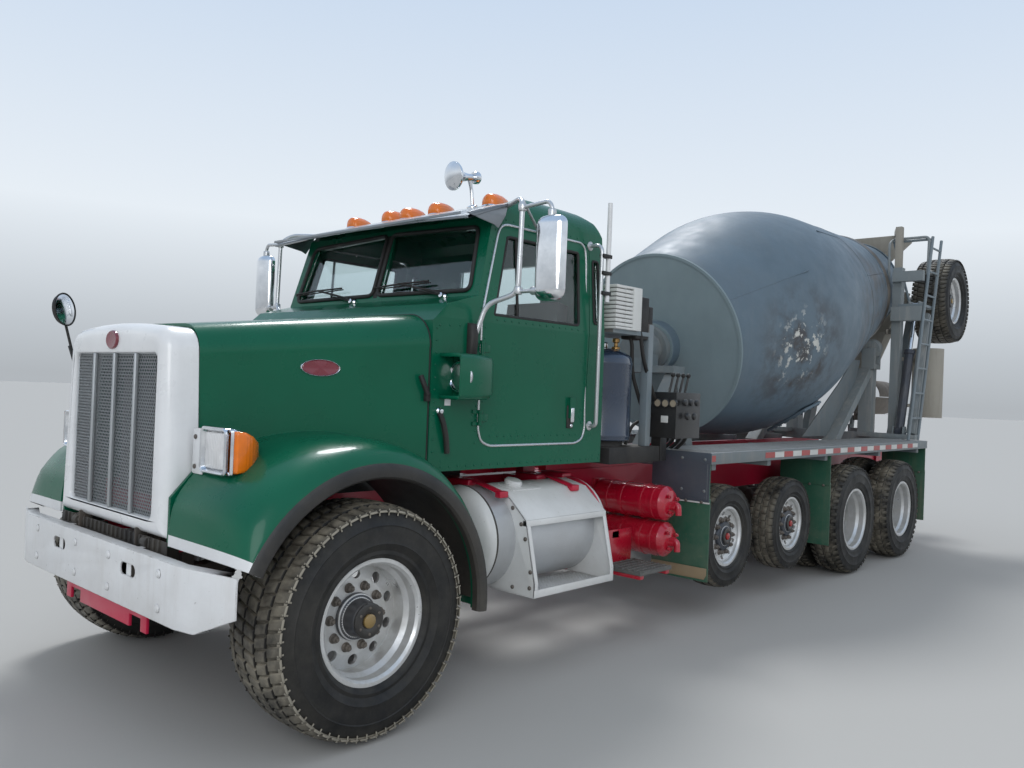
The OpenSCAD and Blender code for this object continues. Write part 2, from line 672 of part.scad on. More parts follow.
tank_r = 300;
tank_x = rail_x + 20 + tank_r;
tank_z = 775;
tank_front = 985;
tank_back = 2010;
module fuel_tanks() both_sides() {
    color(white) translate([tank_x, steer_y, tank_z]) {
        translate([0, tank_front, 0]) bar_y(tank_r, tank_back - tank_front);
        for (e = [[tank_front, 1], [tank_back, -1]]) translate([0, e[0], 0]) rotate([e[1] * 90, 0, 0])
            rotate_extrude() polygon([[0, 0], [tank_r, 0], [tank_r - 20, 34], [tank_r - 90, 62], [0, 78]]);
    }
    // Step box round the outer side of the tank
    color(white) for (s = [1150, 1900]) across_step(s);
    color(white) {
        block([tank_x + 120, steer_y + 1150, 480], [1205, steer_y + 1920, 500]);
        block([tank_x + 200, steer_y + 1150, 880], [1125, steer_y + 1920, 900]);
    }
    color(red) for (s = [1080, 1960]) difference() {
        translate([tank_x, steer_y + s - 30, tank_z]) bar_y(tank_r + 8, 60);
        translate([tank_x, steer_y + s - 31, tank_z]) bar_y(tank_r + seat, 62);
        translate([tank_x, steer_y + s - 32, tank_z - 400]) cube([400, 64, 400]);
    }
    color(red) for (s = [1080, 1960]) block([rail_x + seat, steer_y + s - 30, tank_z - 150],
        [rail_x + 24, steer_y + s + 30, frame_top - 10]);
}
// End plate of the step box at a station
module across_step(s) difference() {
    side = [[tank_x + 120, 480], [1205, 480], [1205, 560], [1125, 900], [tank_x + 60, 900]];
    at(s + 20) rotate([90, 0, 0]) linear_extrude(height = 20) polygon(side);
    translate([tank_x, steer_y + s - 1, tank_z]) bar_y(tank_r + seat, 22);
}

air_tank_r = 122;
module air_tanks() color(red) for (z = [880, 625]) {
    at(2740, z, rail_x + 60) rotate([0, 90, 0]) cylinder(r = air_tank_r, h = 560);
    at(2740, z, rail_x + 620) rotate([0, 90, 0]) rotate_extrude()
        polygon([[0, 0], [air_tank_r, 0], [air_tank_r - 30, 32], [0, 44]]);
    at(2740, z, rail_x + 20) rotate([0, 90, 0]) cylinder(r = 60, h = 41);
    at(2680, 560, rail_x + seat) cube([24, 120, 440]);
    at(2740, z - 20, rail_x + 640) rotate([0, 90, 0]) cylinder(r = 26, h = 60);
}

shelf_front = 2150;
shelf_back = 2760;
shelf_top = subframe_top + 110;
module water_tank() {
    color([0.10, 0.14, 0.22]) at(2350, shelf_top + 40, 700) {
        cylinder(r = 205, h = 560);
        translate([0, 0, 560]) rotate_extrude() polygon([[0, 0], [205, 0], [188, 40], [115, 74], [0, 88]]);
    }
    color(red) block([rail_x - 80, steer_y + shelf_front, subframe_top], [960, steer_y + shelf_back, shelf_top]);
    color(iron) at(2350, shelf_top, 700) cylinder(r = 180, h = 40);
}

cooler_z = 2085;
module oil_cooler() {
    color(plate_grey) {
        at(2600, shelf_top + seat, 880) cube([60, 60, cooler_z + 60 - shelf_top]);
        at(2170, cooler_z - 30, 560) cube([380, 490, 30]);
    }
    color(alloy) at(2170, cooler_z, 560) cube([400, 90, 290]);
    color(iron) at(2260, cooler_z, 600) cube([330, 160, 260]);
}

module control_box() color(iron) {
    at(2770, 1340, 780) cube([300, 330, 330]);
    at(2800, subframe_top + 80, 860) cube([80, 80, 1340 - subframe_top - 80]);
    at(2800, subframe_top, rail_x - 80) cube([590, 80, 80]);
    for (i = [0:3]) at(2800 + i * 70, 1670, 1000) rotate([0, 12, 0]) cylinder(r = 9, h = 120);
}

deck_in = 640;
flap_t = 12;
// Mudflaps: station, height of the lower edge
flaps = [[3030, 300], [5220, 330], [7930, 330]];
module side_decks() both_sides() {
    color(alloy) {
        block([deck_in, steer_y + deck_front, deck_top - 18], [deck_x, steer_y + deck_back, deck_top]);
        block([deck_x - 30, steer_y + deck_front, deck_top - deck_rail_h], [deck_x, steer_y + deck_back, deck_top - 18]);
    }
    color(plate_grey) {
        block([deck_in + 80, steer_y + deck_front, 900], [deck_x - 30, steer_y + deck_front + 14, deck_top - 18]);
        for (s = [deck_front + 60, 4000, 5150, 6500, 7700])
            block([rail_x + seat, steer_y + s, deck_top - 130], [deck_x - 30, steer_y + s + 60, deck_top - 18]);
    }
    color(green) for (f = flaps) block([deck_in + 90, steer_y + f[0] + 29, f[1]],
        [deck_x - 10, steer_y + f[0] + 29 + flap_t, 905]);
    color(plate_grey) for (f = flaps) block([deck_in + 90, steer_y + f[0] + 29 - 12, 880],
        [deck_x - 10, steer_y + f[0] + 29, deck_top - 18]);
}

// Drum, its bearings and rollers

module on_drum_axis(along = 0) at(drum_station, drum_height) rotate([drum_tilt, 0, 0])
    translate([0, along, 0]) children();

module drum_outline(inset) {
    s = [0, front_cone_l, front_cone_l + barrel_l, drum_l];
    r = [drum_head_r, drum_r, drum_r, drum_mouth_r];
    polygon([[0, s[0] + inset], for (i = [0:3]) [r[i] - inset, s[i] + (i == 0 ? inset : i == 3 ? 0 : 0)],
        [0, s[3] + (inset > 0 ? 1 : 0)]]);
}

module mixer_drum() color(drum_grey) on_drum_axis() rotate([-90, 0, 0]) {
    difference() {
        rotate_extrude($fn = 96) union() {
            drum_outline(0);
            // Weld ring of the head, roller track and mouth ring
            translate([0, -14]) square([drum_head_r + 24, 28]);
            translate([drum_mouth_r + 60, track_at - 55]) square([track_r - drum_mouth_r - 60, 110]);
            translate([drum_mouth_r - 20, drum_l - 40]) square([46, 40]);
            translate([0, -120]) square([230, 120]);
        }
        rotate_extrude($fn = 96) drum_outline(drum_wall);
    }
}

// A leg between a foot and a head, each given as station and height, its ends level
module leg(foot, head, x, w, t) side_view([[foot[0] - t / 2, foot[1]], [foot[0] + t / 2, foot[1]],
    [head[0] + t / 2, head[1]], [head[0] - t / 2, head[1]]], x, w);

// The gearbox and its frame under the drum's front head
module front_pedestal() {
    head = [drum_station - 330, 1840];
    color(plate_grey) {
        both_sides() for (foot = [3330, 4080]) leg([foot, subframe_top], head, rail_x - 100, 100, 110);
        block([-rail_x, steer_y + head[0] - 90, 1840], [rail_x, steer_y + head[0] + 90, 1900]);
    }
    color(iron) on_drum_axis() {
        translate([0, -120 - seat - 60, 0]) bar_y(200, 60);
        translate([0, -420, 0]) bar_y(150, 250);
    }
    color(iron) block([-170, steer_y + head[0] - 70, 1895], [170, steer_y + head[0] + 70, 2000]);
}

roller_angle = 36;
roller_out = track_r + seat + roller_r;
pedestal_x = 780;
post_front = 8140;
post_back = 8260;
post_top = 3290;
roller_z = drum_height + track_at * sin(drum_tilt) - roller_out * cos(roller_angle);
roller_s = drum_station + track_at * cos(drum_tilt) + roller_out * cos(roller_angle) * sin(drum_tilt);
// Rollers under the track, the legs that carry them and the cross stubs beside the drum
module rear_pedestal() {
    color(iron) on_drum_axis(track_at) for (s = [-1, 1]) rotate([0, s * roller_angle, 0])
        translate([0, 0, -roller_out]) {
            translate([0, -50, 0]) bar_y(roller_r, 100);
            translate([0, -100, 0]) bar_y(30, 200);
        }
    color(plate_grey) {
        cradle_x = roller_out * sin(roller_angle);
        both_sides() {
            // Bearing block and the two inclined legs under a roller
            at(roller_s - 110, roller_z - 230, cradle_x - 75) difference() {
                cube([150, 220, 250]);
                translate([-1, 50, 60]) cube([152, 120, 200]);
            }
            leg([7050, subframe_top], [roller_s - 30, roller_z - 225], rail_x - 50, 150, 160);
            leg([roller_s + 30, subframe_top], [roller_s + 30, roller_z - 225], rail_x - 50, 150, 160);
            // Post beside the drum and its two stubs
            block([pedestal_x - 60, steer_y + post_front, subframe_top], [pedestal_x + 40, steer_y + post_back, post_top]);
            block([rail_x - 80, steer_y + min(post_front, roller_s + 30), subframe_top],
                [pedestal_x, steer_y + max(post_back, roller_s), subframe_top + 110]);
            block([pedestal_x - 40, steer_y + 8060, 3110], [ladder_x - 18, steer_y + post_front + 1, 3230]);
            block([pedestal_x - 40, steer_y + 8040, 2640], [ladder_x - 18, steer_y + post_front + 1, 2810]);
        }
        block([-rail_x, steer_y + roller_s - 50, subframe_top], [rail_x, steer_y + roller_s + 50, subframe_top + 120]);
    }
}

hopper_w = 1060;
// Funnel that feeds the drum's mouth
module hopper_form(t) hull() {
    translate([-hopper_w / 2 + t, 8800 + t, 3900 + (t > 0 ? 1 : 0)]) cube([hopper_w - 2 * t, 580 - 2 * t, 10]);
    translate([-250 + t, 8880 + t, 3420 - (t > 0 ? 1 : 0)]) cube([500 - 2 * t, 240 - 2 * t, 10]);
}
module charge_hopper() color(concrete) {
    at(0) difference() {
        hopper_form(0);
        hopper_form(12);
    }
    // Posts and arms that carry it
    both_sides() at(8180, post_top, pedestal_x - 60) cube([70, 80, 500]);
    difference() {
        both_sides() hull() {
            at(8180, 3700, pedestal_x - 60) cube([60, 70, 80]);
            at(8830, 3800, hopper_w / 2 - 45) cube([20, 60, 60]);
        }
        at(0) hopper_form(-seat);
    }
}

// Trough under the mouth that leads the mix to the chute, open in front of the mouth
collector_low = 2070;
module collector_form(t) hull() {
    translate([-560 + t, 9010 + t, 3100 + (t > 0 ? 1 : 0)]) cube([1120 - 2 * t, 280 - 2 * t, 10]);
    translate([-180 + t, 8980 + t, collector_low - (t > 0 ? 1 : 0)]) cube([360 - 2 * t, 210 - 2 * t, 10]);
}
module discharge_collector() color(concrete) {
    at(0) difference() {
        collector_form(0);
        collector_form(12);
        translate([-548, 8950, 2590]) cube([1096, 100, 700]);
    }
    difference() {
        both_sides() hull() {
            at(post_back, 2500, pedestal_x - 60) cube([70, 20, 80]);
            at(9040, 2560, 350) cube([20, 60, 60]);
        }
        at(0) collector_form(-seat);
    }
}

ladder_x = 1100;
// Side ladder that leans back with the drum, its platform and the guard at its top
module ladder() color(plate_grey) both_sides() {
    foot = [7700, deck_top + 5];
    head = [8330, 3660];
    lean = (head[0] - foot[0]) / (head[1] - foot[1]);
    for (dy = [0, 330]) rod([ladder_x, steer_y + foot[0] + dy, foot[1]],
        [ladder_x, steer_y + head[0] + dy, head[1]], 17);
    for (z = [foot[1] + 250:290:head[1] - 100]) at(foot[0] + lean * (z - foot[1]), z, ladder_x) bar_y(12, 330);
    // Platform on the lower stub and the guard above it
    at(post_front - 90, 2810, pedestal_x + 41) cube([ladder_x - pedestal_x - 59, 500, 30]);
    at(8450, 2825, ladder_x - 60) bar_x(12, 60);
    rod([ladder_x + 10, steer_y + head[0] - 8, head[1] - 30], [650, steer_y + head[0] - 8, head[1] - 30], 15);
    rod([660, steer_y + head[0] - 8, head[1] - 30], [840, steer_y + 8450, 2825], 15);
}

// Extension chutes hung behind the ladders: station and distance from the middle
spare_spot = [8790, 960];
spare_r = 180;
module spare_chutes() color(concrete) both_sides() {
    at(spare_spot[0], 1500, spare_spot[1]) difference() {
        cylinder(r = spare_r, h = 850);
        translate([0, 0, -1]) cylinder(r = spare_r - chute_wall, h = 852);
        translate([-200, 0, -1]) cube([400, 400, 852]);
    }
    // Hangers on the post
    difference() {
        for (z = [1620, 2180]) at(post_back, z, pedestal_x) cube([40, 500, 40]);
        at(spare_spot[0], 1400, spare_spot[1]) cylinder(r = spare_r + seat, h = 1000);
    }
}

// Hood with its fenders, hinged at the front

hood_pivot_s = -700;
hood_pivot_z = 872;
hinge_pin_r = 16;
hinge_pin_l = 60;
// Section slab of the hood at a station: width, top and bottom
module hood_slab(s, w, top, low, r) at(s) hull() {
    for (x = [-1, 1]) {
        translate([x * (w / 2 - r), 0, top - r]) rotate([-90, 0, 0]) cylinder(r = r, h = 1, $fn = 32);
        translate([x * w / 2 - (x > 0 ? 1 : 0), 0, low]) cube([1, 1, 1]);
    }
    translate([-w / 5, 0, top - 2]) cube([2 * w / 5, 1, 8]);
}
module hood_form(t) hull() {
    hood_slab(-560 - (t > 0 ? 10 : 0), hood_front_w - 2 * t, hood_front_top - t, 1240 - t, 150 - t);
    hood_slab(cab_front - 8 + (t > 0 ? 10 : 0), hood_back_w - 2 * t, hood_back_top - t, 1240 - t, 170 - t);
}

// Side outline of a fender, station and height, before its arch is cut
fender_side = [[-560, 870], [-705, 870], [-690, 1080], [-560, 1240], [-300, 1360], [-40, 1395], [180, 1370],
    [400, 1260], [560, 1060], [660, 800], [725, 500], [560, 500], [0, 560]];
module hood() {
    color(green) {
        difference() {
            hood_form(0);
            hood_form(hood_wall);
            at(0, steer_tyre_r) bar_x(arch_r, 3000);
        }
        // Fenders: the top joins the hood's side, the rear leg stays outside the cab
        both_sides() difference() {
            union() {
                intersection() {
                    side_view(fender_side, 520, fender_x - 520);
                    at(-800, 400, 500) cube([1000, 1330, 1200]);
                }
                side_view(fender_side, cab_h + 22, fender_x - cab_h - 22);
            }
            at(0, steer_tyre_r) bar_x(arch_r, 3000);
            at(-400, 0, 0) cube([hood_front_w / 2 - 40, 1500, 3000]);
            at(-720, 0, 0) cube([crown_half + 14, 720 - 555, 3000]);
            at(-720, 0, 0) cube([560, 420, 3000]);
            at(cab_front - 8, cab_floor - 10, 0) cube([cab_h + 20, 400, 600]);
        }
    }
    // Hood mirror on the right fender and the hinge ears
    color(alloy) {
        rod([-1000, steer_y - 440, 1240], [-1030, steer_y - 600, 1990], 9);
        at(-610, 2010, -1030) bar_y(95, 30);
    }
}

crown_half = 607;
crown_back = -560 - seat;
crown_low = 905;
crown_top = 1880;
// Outline of the crown seen from the front
module crown_face(shrink) hull() {
    translate([-crown_half + shrink, crown_low + shrink]) square([2 * (crown_half - shrink), 20]);
    for (x = [-1, 1]) translate([x * (555 - shrink - 90), crown_top - 90 - shrink]) circle(r = 90);
    translate([0, crown_top - 280 - shrink]) circle(r = 300);
}
grille_half = 475;
module crown() {
    color(white) difference() {
        at(crown_back) rotate([90, 0, 0]) linear_extrude(height = 165) crown_face(0);
        at(-555) rotate([90, 0, 0]) linear_extrude(height = 150) crown_face(26);
        at(-700) rotate([90, 0, 0]) linear_extrude(height = 60)
            polygon([[-grille_half, 985], [grille_half, 985], [grille_half, 1750], [-grille_half, 1750]]);
    }
    // Punched grille and its three upright bars
    color(alloy) {
        block([-grille_half - 10, steer_y - 698, 975], [grille_half + 10, steer_y - 690, 1760]);
        for (x = [-235, 0, 235]) block([x - 9, steer_y - 716, 985], [x + 9, steer_y - 697, 1750]);
    }
    color(iron) both_sides() difference() {
        at(hood_pivot_s - 28, hood_pivot_z - 28, rail_x - 50 - hinge_pin_l + 10) cube([16, 60, crown_low + 40 - hood_pivot_z]);
        at(hood_pivot_s, hood_pivot_z, rail_x - 100) bar_x(hinge_pin_r + bearing_gap, 200);
    }
}

lamp_s = -555;
module headlamps() both_sides() difference() {
    union() {
        color(white) at(lamp_s, 1250, 540) cube([390, 14, 200]);
        color(alloy) at(lamp_s - 85, 1250, 640) cube([290, 90, 180]);
    }
    hood_form(-seat);
    at(lamp_s - 100, 1240, 0) cube([crown_half + 3, 90, 300]);
}

// Doors

module cab_door(side) mirror([side < 0 ? 1 : 0, 0, 0]) {
    color(green) difference() {
        intersection() {
            across(cab_h - cab_wall, cab_wall + 60) door_outline(0);
            cab_form(0);
        }
        across(cab_h - 300, 500) door_window();
        cab_form(cab_wall);
    }
    color(green) for (z = hinge_heights) door_hinge(z);
    color(iron) at(1700, 1480, cab_h + seat - 2) cube([22, 60, 130]);
}
module door_left() cab_door(1);
module door_right() cab_door(-1);

// Knuckle with its kingpin and spindle
module knuckle(side) color(iron) at(0, steer_tyre_r, side * kingpin_x) mirror([side < 0 ? 1 : 0, 0, 0]) {
    translate([0, 0, -knuckle_h / 2]) cylinder(r = kingpin_r, h = knuckle_h);
    for (z = [-knuckle_h / 2, 50 + 2]) translate([-40, -40, z]) cube([100, 80, z < 0 ? 63 : knuckle_h / 2 - 52]);
    translate([52, -60, -knuckle_h / 2]) cube([40, 120, knuckle_h]);
    translate([90, 0, 0]) rotate([0, 90, 0]) cylinder(r = 110, h = steer_x - kingpin_x - 60 - 90 - 1);
    translate([90, 0, 0]) rotate([0, 90, 0]) cylinder(r = spindle_r, h = steer_x - kingpin_x - 60 - 90 + spindle_depth);
    translate([-20, 30, -knuckle_h / 2]) cube([50, 190, 40]);
}
module knuckle_left() knuckle(1);
module knuckle_right() knuckle(-1);

// Booster axle that swings down behind the truck

booster_pivot = 8760;
booster_pivot_z = 1150;
booster_arm_x = 560;
booster_pin_r = 38;
// The arm leans from its pivot to the axle, wider at its foot
arm_lean = atan2(booster_station - booster_pivot, booster_height - booster_pivot_z);
function arm_spot(from_s, from_z, out) = [from_s + out * cos(arm_lean), from_z - out * sin(arm_lean)];
arm_outline = [arm_spot(booster_pivot, booster_pivot_z, -85), arm_spot(booster_pivot, booster_pivot_z, 85),
    arm_spot(booster_station, booster_height, 62), arm_spot(booster_station, booster_height, -62)];
module booster_frame() color(plate_grey) {
    both_sides() {
        difference() {
            union() {
                side_view(arm_outline, booster_arm_x - 45, 90);
                at(booster_pivot, booster_pivot_z, booster_arm_x) bar_x(85, 90);
            }
            at(booster_pivot, booster_pivot_z, booster_arm_x) bar_x(booster_pin_r + bearing_gap, 200);
        }
        at(booster_station, booster_height, booster_x - 80) rotate([0, 90, 0]) cylinder(r = spindle_r, h = 130);
    }
    at(booster_station, booster_height) bar_x(75, 2 * (booster_x - 61));
}

// Chute swivel, main chute and the folded extension

swivel_low = 1000;
lift_s = swivel_station + 60;
swivel_r = 45;
lift_pin_r = 22;
ear_gap = 60;
fold_l = 700;
trough_up = 60 + chute_r;
ear_r = 16;
fold_pin_r = 8;
fold_gap = 4;
module chute_swivel() color(plate_grey) difference() {
    union() {
        at(swivel_station, swivel_low + 150 + seat) cylinder(r = 95, h = 160);
        both_sides() {
            at(swivel_station - 60, swivel_low + 200, ear_gap) cube([30, 100, 160]);
            hull() {
                at(swivel_station - 40, swivel_low + 250, ear_gap) cube([30, 100, 10]);
                at(lift_s, chute_height, ear_gap) rotate([0, 90, 0]) cylinder(r = 40, h = 30, $fn = 32);
            }
        }
    }
    at(swivel_station, swivel_low) cylinder(r = swivel_r + bearing_gap, h = 350);
    at(lift_s, chute_height) bar_x(lift_pin_r + bearing_gap, 400);
}
module trough(l, r, wall) difference() {
    bar_y(r, l);
    translate([0, -1, 0]) bar_y(r - wall, l + 2);
    translate([-r - 1, -1, 0]) cube([2 * r + 2, l + 2, r + 1]);
}
module main_chute() color(concrete) {
    at(lift_s, chute_height) {
        difference() {
            translate([0, -20, trough_up]) trough(chute_l, chute_r, chute_wall);
            translate([0, chute_l - 20, trough_up + fold_gap]) bar_x(fold_pin_r + bearing_gap, 3 * chute_r);
        }
        bar_x(lift_pin_r, 2 * ear_gap + 70);
        both_sides() difference() {
            translate([20, -25, -25]) cube([34, 160, 110]);
            translate([0, -21, trough_up]) bar_y(chute_r - 1, 200);
        }
        // Ears for the folding end
        both_sides() difference() {
            union() {
                translate([chute_r - chute_wall, chute_l - 80, trough_up - 30]) cube([chute_wall, 60, 30 + fold_gap]);
                translate([chute_r - chute_wall, chute_l - 20, trough_up + fold_gap])
                    rotate([0, 90, 0]) cylinder(r = ear_r, h = chute_wall);
            }
            translate([chute_r, chute_l - 20, trough_up + fold_gap]) bar_x(fold_pin_r + bearing_gap, 40);
        }
    }
}
module fold_chute() color(concrete) at(lift_s + chute_l - 20, chute_height + trough_up) {
    translate([0, 0, 2 * fold_gap]) mirror([0, 0, 1]) mirror([0, 1, 0]) trough(fold_l, chute_r - 12, chute_wall);
    // Outer plates with the hinge pins, joined to the trough by lugs
    both_sides() translate([chute_r + 1.5, 0, fold_gap]) {
        rotate([0, 90, 0]) cylinder(r = ear_r, h = 8);
        translate([-chute_wall - 2, 0, 0]) rotate([0, 90, 0]) cylinder(r = fold_pin_r, h = chute_wall + 4);
        translate([0, -40, 0]) cube([8, 34, 44]);
        translate([-20, -40, ear_r + 6]) cube([28, 34, 22]);
    }
}

frame_rails();
front_bumper();
steer_axle();
pusher_axles();
drive_axles();
engine();
cab_shell();
cab_glass();
cab_interior();
mirrors();
roof_fittings();
fuel_tanks();
air_tanks();
water_tank();
oil_cooler();
control_box();
side_decks();
front_pedestal();
rear_pedestal();
charge_hopper();
discharge_collector();
ladder();
spare_chutes();
hood();
crown();
headlamps();
door_left();
door_right();
knuckle_left();
knuckle_right();
mixer_drum();
booster_frame();
chute_swivel();
main_chute();
fold_chute();
place_wheel(steer_x, 0, steer_tyre_r, 1) wide_tyre();  // steer_tyre_left
place_wheel(steer_x, 0, steer_tyre_r, 1) wide_rim();  // steer_rim_left
place_wheel(steer_x, 0, steer_tyre_r, -1) wide_tyre();  // steer_tyre_right
place_wheel(steer_x, 0, steer_tyre_r, -1) wide_rim();  // steer_rim_right
place_wheel(pusher_x, pusher_station, pusher_z, 1) pusher_tyre();  // pusher_tyre_1_left
place_wheel(pusher_x, pusher_station, pusher_z, 1) pusher_rim();  // pusher_rim_1_left
place_wheel(pusher_x, pusher_station, pusher_z, -1) pusher_tyre();  // pusher_tyre_1_right
place_wheel(pusher_x, pusher_station, pusher_z, -1) pusher_rim();  // pusher_rim_1_right
place_wheel(pusher_x, pusher_2, pusher_z, 1) pusher_tyre();  // pusher_tyre_2_left
place_wheel(pusher_x, pusher_2, pusher_z, 1) pusher_rim();  // pusher_rim_2_left
place_wheel(pusher_x, pusher_2, pusher_z, -1) pusher_tyre();  // pusher_tyre_2_right
place_wheel(pusher_x, pusher_2, pusher_z, -1) pusher_rim();  // pusher_rim_2_right
place_wheel(drive_x, drive_1, drive_tyre_r, 1) drive_tyres();  // drive_tyres_1_left
place_wheel(drive_x, drive_1, drive_tyre_r, 1) drive_rims();  // drive_rims_1_left
place_wheel(drive_x, drive_1, drive_tyre_r, -1) drive_tyres();  // drive_tyres_1_right
place_wheel(drive_x, drive_1, drive_tyre_r, -1) drive_rims();  // drive_rims_1_right
place_wheel(drive_x, drive_2, drive_tyre_r, 1) drive_tyres();  // drive_tyres_2_left
place_wheel(drive_x, drive_2, drive_tyre_r, 1) drive_rims();  // drive_rims_2_left
place_wheel(drive_x, drive_2, drive_tyre_r, -1) drive_tyres();  // drive_tyres_2_right
place_wheel(drive_x, drive_2, drive_tyre_r, -1) drive_rims();  // drive_rims_2_right
place_wheel(booster_x, booster_station, booster_height, 1) wide_tyre();  // booster_tyre_left
place_wheel(booster_x, booster_station, booster_height, 1) wide_rim();  // booster_rim_left
place_wheel(booster_x, booster_station, booster_height, -1) wide_tyre();  // booster_tyre_right
place_wheel(booster_x, booster_station, booster_height, -1) wide_rim();  // booster_rim_right
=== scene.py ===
from math import cos, hypot, pi, radians, sin, sqrt

import bpy
from mathutils import Matrix, Vector


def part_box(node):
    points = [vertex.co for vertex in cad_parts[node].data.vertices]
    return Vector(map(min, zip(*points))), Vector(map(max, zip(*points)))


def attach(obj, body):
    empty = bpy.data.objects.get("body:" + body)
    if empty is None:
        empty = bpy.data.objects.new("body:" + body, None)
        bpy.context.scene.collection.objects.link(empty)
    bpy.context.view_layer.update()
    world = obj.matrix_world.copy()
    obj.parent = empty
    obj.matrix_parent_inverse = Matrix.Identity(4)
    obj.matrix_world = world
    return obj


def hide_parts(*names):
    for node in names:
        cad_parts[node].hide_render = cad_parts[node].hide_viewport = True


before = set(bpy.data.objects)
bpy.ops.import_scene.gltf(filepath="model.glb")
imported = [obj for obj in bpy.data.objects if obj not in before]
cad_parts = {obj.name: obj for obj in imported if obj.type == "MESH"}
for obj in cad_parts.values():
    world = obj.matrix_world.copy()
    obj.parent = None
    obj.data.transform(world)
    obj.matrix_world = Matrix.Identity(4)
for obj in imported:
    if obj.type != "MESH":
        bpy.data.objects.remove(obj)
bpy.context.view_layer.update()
bpy.ops.object.select_all(action="DESELECT")

# The camera stands at head height off the front left corner, with a mildly wide lens.
# Its place, lens and turn were fitted to the photograph.
bpy.ops.object.camera_add(location=(4.319, -7.105, 1.645))
camera = bpy.context.object
camera.data.lens = 30.03
camera.data.clip_start, camera.data.clip_end = 0.05, 400
heading, lift, lean = 0.7415, 0.0065, 0.039
level = Matrix.Rotation(heading, 3, "Z") @ Matrix.Rotation(pi / 2 + lift, 3, "X")
turn = level @ Matrix.Rotation(lean, 3, "Z")
camera.rotation_euler = turn.to_euler()
bpy.context.scene.camera = camera
bpy.context.scene.view_settings.view_transform = "Standard"


def add(tree, kind, *feeds, **settings):
    """Adds a shader node. A feed is a socket and what goes in it: an output, or a plain value."""
    made = tree.nodes.new("ShaderNode" + kind)
    for name, value in settings.items():
        setattr(made, name, value)
    for socket, value in feeds:
        if isinstance(value, bpy.types.NodeSocket):
            tree.links.new(value, made.inputs[socket])
        else:
            made.inputs[socket].default_value = value
    return made


def tone(red, green, blue):
    """A colour as a picture shows it, from 0 to 255, in the shader's own measure."""
    return tuple(((c / 255 + 0.055) / 1.055) ** 2.4 for c in (red, green, blue)) + (1,)


# The studio is a pale, even sky with one broad soft sun from behind the truck's right side.
# It darkens towards the horizon, as the yard round the truck would, so that paint and chrome keep depth.
world = bpy.data.worlds.new("studio_sky")
bpy.context.scene.world = world
world.use_nodes = True
sky = world.node_tree
lit = sky.nodes["Background"]
lit.inputs["Color"].default_value = (0.86, 0.92, 1.0, 1)
lit.inputs["Strength"].default_value = 0.72
path = add(sky, "LightPath")
up = add(sky, "SeparateXYZ", ("Vector", add(sky, "TexCoord").outputs["Generated"]))


def sky_ramp(*stops):
    """A sky by height: (sine of the height, colour) from the horizon up."""
    ramp = add(sky, "ValToRGB", ("Fac", up.outputs["Z"]))
    for (place, colour), stop in zip(stops, list(ramp.color_ramp.elements) + [None] * len(stops)):
        stop = stop or ramp.color_ramp.elements.new(place)
        stop.position, stop.color = place, (*colour, 1)
    return add(sky, "Background", ("Color", ramp.outputs["Color"]))


seen = sky_ramp((0.0, (0.44, 0.47, 0.5)), (0.6, (0.45, 0.6, 0.82)), (0.05, (0.52, 0.56, 0.6)),
    (0.18, (0.8, 0.86, 0.92)))
shown = add(sky, "Math", (0, path.outputs["Is Camera Ray"]), (1, path.outputs["Is Glossy Ray"]),
    operation="MAXIMUM")
shown = add(sky, "Math", (0, shown.outputs[0]), (1, path.outputs["Is Transmission Ray"]), operation="MAXIMUM")
mixed = add(sky, "MixShader", (0, shown.outputs[0]), (1, lit.outputs[0]), (2, seen.outputs[0]))
sky.links.new(mixed.outputs[0], sky.nodes["World Output"].inputs["Surface"])

bpy.ops.object.light_add(type="SUN", location=(-8, 6, 14))
sun = bpy.context.object
sun.data.energy, sun.data.angle = 1.7, radians(16)
sun.rotation_euler = (radians(-24), radians(-30), 0)
bpy.ops.object.light_add(type="AREA", location=(9, -13, 6))
soft_lamp = bpy.context.object
soft_lamp.data.shape, soft_lamp.data.size, soft_lamp.data.energy = "DISK", 8, 430
soft_lamp.rotation_euler = (Vector((0, -1, 1.4)) - soft_lamp.location).to_track_quat("-Z", "Y").to_euler()

bpy.ops.mesh.primitive_circle_add(vertices=96, radius=140, fill_type="NGON")
floor = bpy.context.object
floor.name = "studio_floor"
ground = bpy.data.materials.new("studio_floor")
ground.use_nodes = True
ground_shader = ground.node_tree.nodes["Principled BSDF"]
ground_shader.inputs["Base Color"].default_value = (0.44, 0.44, 0.43, 1)
ground_shader.inputs["Roughness"].default_value = 0.9
floor.data.materials.append(ground)

# Frame rails, cross members and the mixer's own sub-frame: welded and bolted steel channel, sprayed red.
# Stations along the truck are measured from the steer axle, so its place is read from the frame.
steer_low, steer_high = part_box("steer_rim_left")
steer_y = (steer_low.y + steer_high.y) / 2


def spot(x, station, z):
    """A point: distance from the middle, station behind the steer axle and height, in metres."""
    return Vector((x, steer_y + station, z))


def placed(point):
    """A plain tuple is taken as x, station and height; a Vector is taken as it is."""
    return point if isinstance(point, Vector) else spot(*point)


def effect(name, gives, **takes):
    """A node group with named number or colour inputs; returns it, its input node and its output node."""
    made = bpy.data.node_groups.new(name, "ShaderNodeTree")
    for label, value in takes.items():
        kind = "NodeSocketColor" if isinstance(value, tuple) else "NodeSocketFloat"
        made.interface.new_socket(label, in_out="INPUT", socket_type=kind).default_value = value
    for label in gives:
        kind = "NodeSocketColor" if label == "Color" else "NodeSocketFloat"
        made.interface.new_socket(label, in_out="OUTPUT", socket_type=kind)
    return made, made.nodes.new("NodeGroupInput").outputs, made.nodes.new("NodeGroupOutput").inputs


